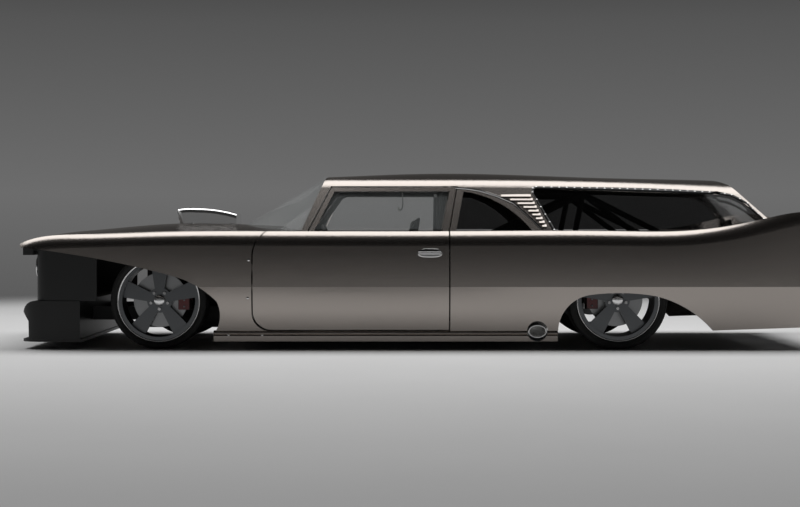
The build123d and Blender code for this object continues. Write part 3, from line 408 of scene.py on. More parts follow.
def oval_path(centre: Vector, half: tuple[float, float], axis: Vector, steps: int) -> list[Vector]:
    """Make an upright oval.

    Args:
        centre: Its middle.
        half: Half width and half height.
        axis: Level direction of its width.
        steps: Divisions of the turn.

    Returns:
        Points round it, the first one again at the end.
    """
    turns = [2 * math.pi * k / steps for k in range(steps)]
    made = [centre + axis * half[0] * math.cos(t) + UP * half[1] * math.sin(t) for t in turns]
    return made + made[:1]


def box_path(centre: Vector, half: tuple[float, float], corner: float, steps: int = 8) -> list[Vector]:
    """Make a rounded rectangle that faces along the car.

    Args:
        centre: Its middle.
        half: Half width across the car and half height.
        corner: Corner radius.
        steps: Divisions of each corner.

    Returns:
        Points round it, the first one again at the end.
    """
    made = []
    for k, (across, up) in enumerate(((1, 1), (-1, 1), (-1, -1), (1, -1))):
        for i in range(steps + 1):
            turn = math.pi / 2 * (k + i / steps)
            y = across * (half[0] - corner) + corner * math.cos(turn)
            z = up * (half[1] - corner) + corner * math.sin(turn)
            made.append(centre + Vector((0, y, z)))
    return made + made[:1]


def revolve_into(
    mesh: bmesh.types.BMesh, profiles: list[list[tuple[float, float]]], centre: Vector, side: int
) -> None:
    """Turn closed profiles about the car's cross axis into a bmesh.

    Args:
        mesh: Takes the faces.
        profiles: One for each step of the turn, as pairs of radius and outward offset in metres.
        centre: Wheel centre.
        side: +1 on the right, -1 on the left.
    """
    rings = []
    for k, profile in enumerate(profiles):
        turn = 2 * math.pi * k / len(profiles)
        spots = [Vector((r * math.cos(turn), side * out, r * math.sin(turn))) for r, out in profile]
        rings.append([mesh.verts.new(centre + spot) for spot in spots])
    skin_rings(mesh, rings, closed=True)


def skin_point(names: Iterable[str], x: float, z: float, side: int) -> Vector | None:
    """Find where a line across the car first meets a panel.

    Args:
        names: CAD nodes to try.
        x: Station in metres.
        z: Height in metres.
        side: +1 from the right, -1 from the left.

    Returns:
        The point, or None where the line misses.
    """
    best = None
    for name in names:
        hit, point, _, _ = node_object(name).ray_cast(Vector((x, side * RAY_START, z)), -side * ACROSS)
        if hit and (best is None or side * point.y > side * best.y):
            best = point
    return best


def rivet_into(
    mesh: bmesh.types.BMesh, point: Vector, normal: Vector, radius: float, dome: float = 0.55
) -> None:
    """Set one domed rivet head into a bmesh.

    Args:
        mesh: Takes the faces.
        point: Centre of the head on the skin.
        normal: Outward direction.
        radius: Head radius in metres.
        dome: Height of the head over its radius.
    """
    turn = normal.to_track_quat("Z", "Y").to_matrix().to_4x4()
    place = Matrix.Translation(point) @ turn @ Matrix.Diagonal((1, 1, dome, 1))
    bmesh.ops.create_uvsphere(mesh, u_segments=10, v_segments=6, radius=radius, matrix=place)


@dataclass
class Bodywork:
    """Painted panels with their fasteners and screws."""

    paint: Finish = PAINT
    head_r: float = 9 * MM
    # Station and height of each head
    fasteners: tuple[tuple[float, float], ...] = ((-1.142, 0.585), (-1.148, 0.34))
    screws: tuple[tuple[float, float], ...] = ((-1.278, 0.098), (-1.06, 0.098))

    def dress(self) -> None:
        """Finish every body panel."""
        panels = ["hood", "roof", "cowl", "tailgate", "louvres"]
        for side in SIDES:
            panels += [f"{name}_{side}" for name in ("fender", "quarter", "door")]
        for name in panels:
            paint_node(name, self.paint)
        for name in ("nose_panel", "front_bumper", "splitter", "rear_bumper"):
            paint_node(name, BLACK)
        paint_node("side_skirts", self.paint)

    def build(self) -> None:
        """Make the quarter-turn fasteners and the skirt screws."""
        for side, sign in SIDES.items():
            rows = {
                f"quarter_turn_fasteners_{side}": (self.fasteners, [f"fender_{side}", f"door_{side}"]),
                f"skirt_screws_{side}": (self.screws, ["side_skirts"]),
            }
            for name, (places, panels) in rows.items():
                mesh = bmesh.new()
                for x, z in places:
                    point = skin_point(panels, x, z, sign)
                    if point:
                        rivet_into(mesh, point, sign * ACROSS, self.head_r)
                add_piece(name, mesh, CHROME, "body")


@dataclass
class Greenhouse:
    """Glass, window borders and mouldings of the roof."""

    # The roof's side: half width and height at the belt line, lean inwards, and taper towards the tail
    belt_y: float = 0.852
    belt_z: float = 0.771
    lean: float = 0.711
    taper: float = 0.018
    taper_from: float = 1.0
    glass_height: float = 0.29
    # A skin further than this from the side's plane is one behind an open window
    reach: float = 30 * MM
    # Share of a lift off the leaning side that goes upwards
    lift_rise: float = 0.6
    skin_lift: float = 2 * MM
    # Corners as pairs of station and height
    moulding: tuple[tuple[float, float], ...] = (
        (0.205, 1.058), (0.29, 1.051), (0.368, 1.038), (0.475, 1.004),
        (0.588, 0.955), (0.672, 0.877), (0.765, 0.782),
    )
    moulding_r: float = 7 * MM
    moulding_flat: float = 0.7
    moulding_step: float = 30 * MM
    load_window: tuple[tuple[float, float], ...] = (
        (0.848, 0.785), (0.72, 1.02), (0.724, 1.046), (0.746, 1.054), (1.0, 1.047),
        (1.3, 1.038), (1.6, 1.028), (1.94, 1.016), (2.03, 1.0), (2.08, 0.976),
        (2.125, 0.948), (2.22, 0.852), (2.235, 0.785),
    )
    window_middle: tuple[float, float] = (1.5, 0.9)
    window_stretch: float = 4.0
    border: float = 24 * MM
    border_step: float = 20 * MM
    sheet: float = 2 * MM
    # Places along and up across the border, as shares of its width
    inner_edge: tuple[float, float] = (0.0, 0.0)
    outer_edge: tuple[float, float] = (0.6, 1.0)
    rivet_row: tuple[float, float] = (0.3, 0.5)
    rivet_pitch: float = 52 * MM
    rivet_r: float = 6.5 * MM
    rivet_lift: float = 4 * MM
    rivet_lean: float = 0.7

    def dress(self) -> None:
        """Finish the panes."""
        for name in ("windscreen", "rear_window", "door_glass_left", "door_glass_right"):
            paint_node(name, GLASS)
        paint_node("side_windows", TINTED)

    def curve(self, points: Iterable[tuple[float, float]], step: float) -> list[tuple[float, float]]:
        """Divide a polyline evenly.

        Args:
            points: Corners as (x, z).
            step: Spacing in metres.

        Returns:
            Points about a step apart.
        """
        corners = list(points)
        made = [corners[0]]
        for (x0, z0), (x1, z1) in zip(corners, corners[1:]):
            count = max(1, round(math.hypot(x1 - x0, z1 - z0) / step))
            made += [(x0 + (x1 - x0) * i / count, z0 + (z1 - z0) * i / count) for i in range(1, count + 1)]
        return made

    def on_roof(self, x: float, z: float, sign: int, lift: float) -> Vector:
        """Place a point on the roof's side, or on its plane where a window is open.

        Args:
            x: Station in metres.
            z: Height in metres.
            sign: Side of the car.
            lift: Height above the skin.

        Returns:
            The point.
        """
        above = z - self.belt_z
        narrowed = max(0.0, x - self.taper_from) * self.taper * max(0.0, above / self.glass_height)
        plane = self.belt_y - self.lean * above - narrowed
        hit = skin_point(["roof"], x, z, sign)
        y = plane if hit is None or abs(abs(hit.y) - plane) > self.reach else abs(hit.y)
        return Vector((x, sign * (y + lift), z + lift * self.lift_rise))

    def on_border(self, x: float, z: float, share: tuple[float, float], sign: int, lift: float) -> Vector:
        """Place a point on the border round the load window.

        Args:
            x: Station of the window's edge in metres.
            z: Height of the window's edge in metres.
            share: Place along and up across the border.
            sign: Side of the car.
            lift: Height above the skin.

        Returns:
            The point.
        """
        middle_x, middle_z = self.window_middle
        away = Vector((x - middle_x, 0, (z - middle_z) * self.window_stretch)).normalized()
        x += away.x * self.border * share[0]
        z += away.z * self.border * share[1]
        return self.on_roof(x, z, sign, lift)

    def build(self) -> None:
        """Make the mouldings, borders and rivets of both sides."""
        for side, sign in SIDES.items():
            route = self.curve(self.moulding, self.moulding_step)
            path = [self.on_roof(x, z, sign, self.skin_lift) for x, z in route]
            add_bar(f"drip_moulding_{side}", path, self.moulding_r, CHROME, "body", self.moulding_flat)
            self.window_border(side, sign)

    def window_border(self, side: str, sign: int) -> None:
        """Frame the load window with a black band and a row of rivets.

        Args:
            side: Name of the side.
            sign: Side of the car.
        """
        band, rivets = bmesh.new(), bmesh.new()
        rows = []
        for x, z in self.curve(self.load_window, self.border_step):
            edges = (self.inner_edge, self.outer_edge)
            rows.append([band.verts.new(self.on_border(x, z, edge, sign, self.skin_lift)) for edge in edges])
        for low, high in zip(rows, rows[1:]):
            band.faces.new((low[0], low[1], high[1], high[0]))
        obj = add_piece(f"load_window_band_{side}", band, BLACK, "body")
        obj.modifiers.new("sheet", "SOLIDIFY").thickness = self.sheet
        out = Vector((0, sign, self.rivet_lean)).normalized()
        for x, z in self.curve(self.load_window, self.rivet_pitch):
            rivet_into(rivets, self.on_border(x, z, self.rivet_row, sign, self.rivet_lift), out, self.rivet_r)
        add_piece(f"load_window_rivets_{side}", rivets, CHROME, "body")


@dataclass
class Corner:
    """One wheel with its tyre, polished lip, cap and nuts."""

    end: str
    side: str
    radius: float
    width: float
    # Radius, and depth behind the tyre's outer face, round the lip's section
    lip: tuple[tuple[float, float], ...] = (
        (0.240, 0.016), (0.252, 0.006), (0.268, 0.001), (0.2715, 0.004),
        (0.270, 0.009), (0.2535, 0.012), (0.2385, 0.022),
    )
    lip_steps: int = 96
    # Radius and depth of each rolled bead's middle, and the bead's own radius
    beads: tuple[tuple[float, float, float], ...] = ((0.2675, 0.0035, 3.2 * MM), (0.243, 0.0165, 2.4 * MM))
    bead_sides: int = 12
    # Radius and depth of the sidewall near the rim
    bead_wall: tuple[tuple[float, float], ...] = (
        (0.2525, 0.021), (0.262, 0.012), (0.272, 0.0065), (0.279, 0.0045), (0.281, 0.0030), (0.283, 0.0040),
    )
    # Distance below the tread and depth of the sidewall near the shoulder
    upper_wall: tuple[tuple[float, float], ...] = (
        (0.030, 0.0015), (0.027, 0.0002), (0.024, 0.0012), (0.016, 0.0022),
    )
    # The same for the shoulder that is cut into blocks, and the depth and pitch of the cuts
    shoulder: tuple[tuple[float, float], ...] = ((0.006, 0.0075), (0.0015, 0.018))
    block_cut: float = 4 * MM
    block_steps: int = 4
    tyre_steps: int = 240
    grooves: int = 4
    groove_inset: float = 34 * MM
    # Half width of a groove, and distance below the tread, at its top and at its floor
    groove_top: tuple[float, float] = (5.5 * MM, 0.3 * MM)
    groove_floor: tuple[float, float] = (3.5 * MM, 6.5 * MM)
    hub_depth: float = 44 * MM
    # Radius, and height above the hub, round the cap's section
    cap: tuple[tuple[float, float], ...] = (
        (0.0005, 0.0), (0.036, 0.0), (0.036, 0.016), (0.030, 0.022), (0.012, 0.026), (0.0005, 0.026),
    )
    cap_steps: int = 40
    lugs: int = 5
    lug_circle_r: float = 57 * MM
    lug_phase_deg: float = 126.0
    nut_r: float = 10.5 * MM
    nut_long: float = 18 * MM

    @property
    def body(self) -> str:
        """Name of the body the wheel rides on."""
        return f"wheel_{self.end}_{self.side}"

    @property
    def sign(self) -> int:
        """Side of the car."""
        return SIDES[self.side]

    @property
    def half(self) -> float:
        """Half the tyre's width."""
        return self.width / 2

    @property
    def centre(self) -> Vector:
        """Middle of the tyre."""
        low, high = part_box(f"tyre_{self.end}_{self.side}")
        return (low + high) / 2

    def dress(self) -> None:
        """Finish tyre, wheel and disc."""
        paint_node(f"tyre_{self.end}_{self.side}", RUBBER)
        paint_node(f"wheel_{self.end}_{self.side}", ALLOY)
        paint_node(f"brake_disc_{self.end}_{self.side}", ROTOR)

    def build(self) -> None:
        """Make the polished lip, tyre, cap and nuts."""
        self.make_lip()
        self.make_tyre()
        self.make_cap()
        self.make_nuts()

    def make_lip(self) -> None:
        """Turn the polished lip with its rolled beads."""
        mesh, centre = bmesh.new(), self.centre
        profile = [(radius, self.half - depth) for radius, depth in self.lip]
        revolve_into(mesh, [profile] * self.lip_steps, centre, self.sign)
        turns = [2 * math.pi * k / self.bead_sides for k in range(self.bead_sides)]
        for radius, depth, bead in self.beads:
            ring = [(radius + bead * math.cos(t), self.half - depth + bead * math.sin(t)) for t in turns]
            revolve_into(mesh, [ring] * self.lip_steps, centre, self.sign)
        add_piece(f"polished_lip_{self.end}_{self.side}", mesh, POLISHED, self.body)

    def tyre_section(self, cut: float) -> list[tuple[float, float]]:
        """Draw the tyre's section with its sidewall ribs and tread grooves.

        Args:
            cut: Depth cut out of the shoulder.

        Returns:
            Pairs of radius and outward offset.
        """
        r, half = self.radius, self.half
        side = [(radius, half - depth) for radius, depth in self.bead_wall]
        side += [(r - below, half - depth) for below, depth in self.upper_wall]
        side += [(r - below - cut, half - depth) for below, depth in self.shoulder]
        tread = []
        for k in range(self.grooves):
            at = (half - self.groove_inset) * (1 - 2 * k / (self.grooves - 1))
            (top, top_below), (floor, floor_below) = self.groove_top, self.groove_floor
            tread += [(r - top_below, at + top), (r - floor_below, at + floor)]
            tread += [(r - floor_below, at - floor), (r - top_below, at - top)]
        return side + tread + [(radius, -out) for radius, out in reversed(side)]

    def make_tyre(self) -> None:
        """Turn the tyre, with shoulder blocks between its cuts, in place of the plain one."""
        mesh = bmesh.new()
        plain, cut = self.tyre_section(0.0), self.tyre_section(self.block_cut)
        sections = [plain if k % self.block_steps else cut for k in range(self.tyre_steps)]
        revolve_into(mesh, sections, self.centre, self.sign)
        obj = add_piece(f"treaded_tyre_{self.end}_{self.side}", mesh, RUBBER, self.body)
        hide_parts(f"tyre_{self.end}_{self.side}")

    def make_cap(self) -> None:
        """Turn the centre cap."""
        mesh = bmesh.new()
        profile = [(radius, self.half - self.hub_depth + height) for radius, height in self.cap]
        revolve_into(mesh, [profile] * self.cap_steps, self.centre, self.sign)
        add_piece(f"centre_cap_{self.end}_{self.side}", mesh, POLISHED, self.body)

    def make_nuts(self) -> None:
        """Set the wheel nuts round the cap."""
        mesh, centre = bmesh.new(), self.centre
        out = self.half - self.hub_depth + self.nut_long / 2
        for k in range(self.lugs):
            turn = math.radians(self.lug_phase_deg + k * 360 / self.lugs)
            x, z = self.lug_circle_r * math.cos(turn), self.lug_circle_r * math.sin(turn)
            spot = centre + Vector((x, self.sign * out, z))
            bmesh.ops.create_cone(
                mesh, cap_ends=True, segments=6, radius1=self.nut_r, radius2=self.nut_r,
                depth=self.nut_long, matrix=Matrix.Translation(spot) @ Matrix.Rotation(math.pi / 2, 4, "X"),
            )
        add_piece(f"wheel_nuts_{self.end}_{self.side}", mesh, CHROME, self.body, smooth=False)


@dataclass
class RunningGear:
    """Wheels, brakes, axle and arms."""

    corners: list[Corner] = field(default_factory=list)
    # Reach along, reach outward and half height of the blocks that make a caliper, from the wheel's middle
    caliper_blocks: tuple[tuple[Any, ...], ...] = (
        ((0.1185, 0.206), (0.0075, 0.029), 0.064), ((0.188, 0.206), (-0.054, 0.029), 0.064),
    )
    caliper_round: float = 3.5 * MM
    bolt_r: float = 7 * MM
    bolt_at: tuple[float, float] = (0.158, 0.0285)
    bolt_heights: tuple[float, ...] = (-0.042, 0.0, 0.042)

    def dress(self) -> None:
        """Finish the running gear."""
        for corner in self.corners:
            corner.dress()
        for name in ("front_arms", "rear_axle"):
            paint_node(name, POWDER)
        for side in SIDES:
            paint_node(f"knuckle_{side}", IRON)

    def build(self) -> None:
        """Add detail to each corner, and its caliper."""
        for corner in self.corners:
            corner.build()
            self.caliper(corner)

    def caliper(self, corner: Corner) -> None:
        """Make a caliper's enamelled body and its bolts.

        Args:
            corner: The wheel it brakes.
        """
        mesh, bolts, centre = bmesh.new(), bmesh.new(), corner.centre
        ahead = 1 if corner.end == "front" else -1
        for (x0, x1), (y0, y1), half_z in self.caliper_blocks:
            middle = Vector((ahead * (x0 + x1) / 2, corner.sign * (y0 + y1) / 2, 0)) + centre
            size = Matrix.Diagonal((x1 - x0, y1 - y0, 2 * half_z, 1))
            bmesh.ops.create_cube(mesh, size=1.0, matrix=Matrix.Translation(middle) @ size)
        bmesh.ops.bevel(mesh, geom=mesh.edges[:], offset=self.caliper_round, segments=2, affect="EDGES")
        x, y = self.bolt_at
        for z in self.bolt_heights:
            spot = centre + Vector((ahead * x, corner.sign * y, z))
            rivet_into(bolts, spot, corner.sign * ACROSS, self.bolt_r)
        body = f"knuckle_{corner.side}" if corner.end == "front" else "body"
        add_piece(f"caliper_body_{corner.end}_{corner.side}", mesh, CALIPER, body)
        add_piece(f"caliper_bolts_{corner.end}_{corner.side}", bolts, ANODISED, body)


@dataclass
class Scoop:
    """Lip, throttles and studs of the hood scoop."""

    mouth_z: float = 0.8755
    mouth_half: tuple[float, float] = (0.172, 0.0395)
    mouth_corner: float = 24 * MM
    mouth_slant: float = 0.21
    lip_r: float = 3.5 * MM
    lip_inset: float = 1.5 * MM
    throttle_inset: float = 0.1
    throttle_y: tuple[float, ...] = (-0.112, 0.0, 0.112)
    blade_r: float = 34 * MM
    blade_thick: float = 3 * MM
    blade_lean_deg: float = 82.0
    throttle_rim: tuple[float, float] = (36.5 * MM, 2.6 * MM)
    throttle_rim_ahead: float = 4 * MM
    shaft_r: float = 4 * MM
    # Stud places behind the scoop's front edge, before its rear edge, and across the car
    stud_front: float = 0.113
    stud_rear: float = 0.03
    stud_y: float = 0.212
    stud_r: float = 11 * MM

    def build(self) -> None:
        """Make the rolled lip, throttle blades on their shaft, and hold-down studs."""
        low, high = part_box("scoop")
        self.lip(low, high)
        self.throttles(low.x + self.throttle_inset)
        self.studs((low.x + self.stud_front, high.x - self.stud_rear))

    def lip(self, low: Vector, high: Vector) -> None:
        """Roll the edge of the slanted mouth.

        Args:
            low: Low corner of the scoop's box.
            high: High corner of the scoop's box.
        """
        path = []
        for point in box_path(Vector((low.x, 0, self.mouth_z)), self.mouth_half, self.mouth_corner):
            slant = self.mouth_slant * (high.z - point.z)
            path.append(point + ALONG * (slant + self.lip_inset))
        mesh = bmesh.new()
        sweep_into(mesh, path, self.lip_r, facing=ALONG)
        add_piece("scoop_lip", mesh, CHROME, "hood")

    def throttles(self, x: float) -> None:
        """Hang the throttle blades in their rims on one shaft.

        Args:
            x: Station of the shaft.
        """
        blades, rims = bmesh.new(), bmesh.new()
        rim_r, rim_wire = self.throttle_rim
        for y in self.throttle_y:
            lean = Matrix.Rotation(math.radians(self.blade_lean_deg), 4, "Y")
            bmesh.ops.create_cone(
                blades, cap_ends=True, segments=48, radius1=self.blade_r, radius2=self.blade_r,
                depth=self.blade_thick, matrix=Matrix.Translation(Vector((x, y, self.mouth_z))) @ lean,
            )
            middle = Vector((x - self.throttle_rim_ahead, y, self.mouth_z))
            sweep_into(rims, oval_path(middle, (rim_r, rim_r), ACROSS, 40), rim_wire, sides=8, facing=ALONG)
        shaft = [Vector((x, self.mouth_half[0] * share, self.mouth_z)) for share in (-1, -0.5, 0, 0.5, 1)]
        sweep_into(rims, shaft, self.shaft_r, facing=UP)
        add_piece("throttle_blades", blades, ANODISED, "hood")
        add_piece("throttle_rims_and_shaft", rims, CHROME, "hood")

    def studs(self, stations: tuple[float, float]) -> None:
        """Set the hold-down studs on the hood.

        Args:
            stations: Stations of the front and the rear pair.
        """
        mesh = bmesh.new()
        for x in stations:
            for y in (-self.stud_y, self.stud_y):
                hit, point, normal, _ = node_object("hood").ray_cast(Vector((x, y, RAY_START)), -UP)
                if hit:
                    rivet_into(mesh, point, normal, self.stud_r)
        add_piece("scoop_hold_down_studs", mesh, CHROME, "hood")


@dataclass
class EndsAndTrim:
    """Scoop, lamps, grille, exhausts and handles."""

    scoop: Scoop = field(default_factory=Scoop)
    exhaust_at: tuple[float, float] = (0.726, 0.122)
    exhaust_half: tuple[float, float] = (0.0565, 0.039)
    exhaust_inset: float = 1 * MM
    exhaust_rim_r: float = 4.5 * MM
    plate_half: tuple[float, float] = (0.080, 0.029)
    # Share of the plate's outline and height off the door's skin in millimetres, from its edge to its crown
    plate_rings: tuple[tuple[float, float], ...] = (
        (1.0, -0.5), (1.0, 2.0), (0.96, 3.4), (0.86, 4.2), (0.5, 4.8), (0.04, 5.0),
    )
    # 2 gives an oval outline, and a higher power a squarer one
    plate_power: float = 2.6
    plate_steps: int = 48
    door_y: float = 0.975
    lamp_y: tuple[float, ...] = (0.59, 0.732)
    lamp_z: float = 0.54
    lamp_r: float = 68.5 * MM
    bezel_r: float = 5 * MM
    bezel_inset: float = 5 * MM

    def dress(self) -> None:
        """Finish the trim nodes."""
        finishes = {
            "scoop": POLISHED, "headlamps": LAMP_LENS, "tail_lamps": RED_LENS, "grille": ANODISED,
            "exhausts": STAINLESS, "door_handle_left": CHROME, "door_handle_right": CHROME, "engine": IRON,
        }
        for name, finish in finishes.items():
            paint_node(name, finish)

    def build(self) -> None:
        """Make the exhaust rims, handle plates, scoop fittings and lamp rims."""
        for side, sign in SIDES.items():
            self.exhaust_rim(side, sign)
            self.handle_plate(side, sign)
        self.scoop.build()
        self.lamp_rims()

    def exhaust_rim(self, side: str, sign: int) -> None:
        """Roll the edge of an exhaust outlet.

        Args:
            side: Name of the side.
            sign: Side of the car.
        """
        x, z = self.exhaust_at
        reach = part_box("exhausts")[1].y - self.exhaust_inset
        path = oval_path(Vector((x, sign * reach, z)), self.exhaust_half, ALONG, 48)
        add_bar(f"exhaust_rim_{side}", path, self.exhaust_rim_r, CHROME, "body")

    def handle_plate(self, side: str, sign: int) -> None:
        """Dome a plated escutcheon behind a door handle, laid on the door's skin.

        Args:
            side: Name of the side.
            sign: Side of the car.
        """
        low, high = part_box(f"door_handle_{side}")
        middle = (low + high) / 2
        power, half = self.plate_power, self.plate_half
        mesh = bmesh.new()
        rings = []
        for scale, lift in self.plate_rings:
            ring = []
            for k in range(self.plate_steps):
                turn = 2 * math.pi * k / self.plate_steps
                bend = (abs(math.cos(turn)) ** power + abs(math.sin(turn)) ** power) ** (-1 / power)
                x = middle.x + scale * half[0] * bend * math.cos(turn)
                z = middle.z + scale * half[1] * bend * math.sin(turn)
                spot = skin_point([f"door_{side}"], x, z, sign) or Vector((x, sign * self.door_y, z))
                ring.append(mesh.verts.new(spot + ACROSS * sign * lift * MM))
            rings.append(ring)
        skin_rings(mesh, rings, closed=False)
        add_piece(f"handle_plate_{side}", mesh, CHROME, f"door_{side}")

    def lamp_rims(self) -> None:
        """Ring each headlamp with a plated bezel."""
        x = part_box("headlamps")[0].x + self.bezel_inset
        mesh = bmesh.new()
        for y in self.lamp_y:
            for sign in SIDES.values():
                path = oval_path(Vector((x, sign * y, self.lamp_z)), (self.lamp_r, self.lamp_r), ACROSS, 56)
                sweep_into(mesh, path, self.bezel_r, facing=ALONG)
        add_piece("headlamp_bezels", mesh, CHROME, "body")


@dataclass
class Pad:
    """One sewn seat pad.

    Attributes:
        name: Piece name without the side.
        middle: Its middle as (along, up).
        half: Half length along the seat and half width.
        thick: Thickness at the crown.
        lean: Turn about the car's cross axis, degrees.
        channels: Places of the sewn channels across the width, from -1 to 1.
        grid: Divisions along and across.
        under: Fullness of the underside, as a share of the upper side's.
        square: Power of the crown; a higher one is fuller towards the edges.
        pull: How far the ends and the sides pull in at the middle, as shares of half the size.
        stitch: Half width and depth of a sewn channel.
    """

    name: str
    middle: tuple[float, float]
    half: tuple[float, float]
    thick: float
    lean: float
    channels: tuple[float, ...]
    grid: tuple[int, int] = (44, 40)
    under: float = 0.7
    square: int = 6
    pull: tuple[float, float] = (0.025, 0.03)
    stitch: tuple[float, float] = (9 * MM, 7 * MM)

    def place(self, y: float) -> Matrix:
        """Where the pad lies in the car.

        Args:
            y: Middle of the seat across the car.

        Returns:
            Turn from the pad's own axes to the car's.
        """
        along, up = self.middle
        return Matrix.Translation(Vector((along, y, up))) @ Matrix.Rotation(math.radians(self.lean), 4, "Y")

    def spot(self, u: float, v: float, up: int) -> Vector:
        """Work out a point of the slack pad in its own axes.

        Args:
            u: Place along it, from -1 to 1.
            v: Place across it, from -1 to 1.
            up: 1 on the upper side, -1 on the underside.

        Returns:
            The point.
        """
        crown = ((1 - u**self.square) * (1 - v**self.square)) ** 0.5
        x = u * self.half[0] * (1 - self.pull[0] * (1 - v * v))
        y = v * self.half[1] * (1 - self.pull[1] * (1 - u * u))
        return Vector((x, y, up * crown * self.thick / 2 * (1.0 if up > 0 else self.under)))

    def make(self, side: str, y: float) -> bpy.types.Object:
        """Make the slack pad, a closed form with its sides pulled in between the corners.

        Args:
            side: Name of the seat.
            y: Middle of the seat across the car.

        Returns:
            The pad, not yet filled.
        """
        mesh, place = bmesh.new(), self.place(y)
        long, wide = self.grid
        upper: list[list[bmesh.types.BMVert]] = []
        for up in (1, -1):
            rows = []
            for i in range(long + 1):
                row = []
                for k in range(wide + 1):
                    if up < 0 and (i in (0, long) or k in (0, wide)):
                        row.append(upper[i][k])
                    else:
                        row.append(mesh.verts.new(place @ self.spot(2 * i / long - 1, 2 * k / wide - 1, up)))
                rows.append(row)
            upper = upper or rows
            for a, b in zip(rows, rows[1:]):
                for k in range(wide):
                    mesh.faces.new((a[k], b[k], b[k + 1], a[k + 1]))
        return add_piece(f"{self.name}_{side}", mesh, VINYL, "body", split=False)

    def sew(self, pad: bpy.types.Object, y: float) -> None:
        """Draw the sewn channels into a filled pad.

        Args:
            pad: The filled pad.
            y: Middle of the seat across the car.
        """
        place = self.place(y)
        back = place.inverted()
        wide, deep = self.stitch
        for vert in pad.data.vertices:
            spot = back @ vert.co
            if spot.z <= 0:
                continue
            for channel in self.channels:
                gap = (spot.y - channel * self.half[1]) / wide
                spot.z -= min(deep, spot.z) * math.exp(-gap * gap)
            vert.co = place @ spot


@dataclass(frozen=True)
class Filling:
    """Foam that swells a slack pad, as cloth under pressure.

    Attributes:
        pressure: Cloth pressure.
        stiffness: Stretch and squeeze stiffness of the cover.
        quality: Cloth steps in a frame.
        frames: Frames that the cloth runs for.
        cap: Furthest that a point may move, metres.
    """

    pressure: float = 0.8
    stiffness: float = 60.0
    quality: int = 6
    frames: int = 20
    cap: float = 8 * MM

    def swell(self, pads: list[bpy.types.Object]) -> None:
        """Fill slack pads and keep the result in their meshes.

        Args:
            pads: Closed meshes.
        """
        scene = bpy.context.scene
        for pad in pads:
            cloth = pad.modifiers.new("filling", "CLOTH")
            cloth.settings.use_pressure = True
            cloth.settings.uniform_pressure_force = self.pressure
            cloth.settings.quality = self.quality
            cloth.settings.tension_stiffness = self.stiffness
            cloth.settings.compression_stiffness = self.stiffness
            cloth.settings.effector_weights.gravity = 0.0
            cloth.point_cache.frame_start = 1
            cloth.point_cache.frame_end = self.frames
        for step in range(1, self.frames + 1):
            scene.frame_set(step)
        graph = bpy.context.evaluated_depsgraph_get()
        for pad in pads:
            swollen = pad.evaluated_get(graph)
            places = [vert.co.copy() for vert in swollen.to_mesh().vertices]
            swollen.to_mesh_clear()
            furthest = 0.0
            for vert, place in zip(pad.data.vertices, places):
                move = place - vert.co
                furthest = max(furthest, move.length)
                vert.co += move * min(1.0, self.cap / max(move.length, 1e-9))
            LOG.info("filled %s, furthest point %.1f mm", pad.name, furthest / MM)
        for pad in pads:
            pad.modifiers.clear()
        scene.frame_set(1)


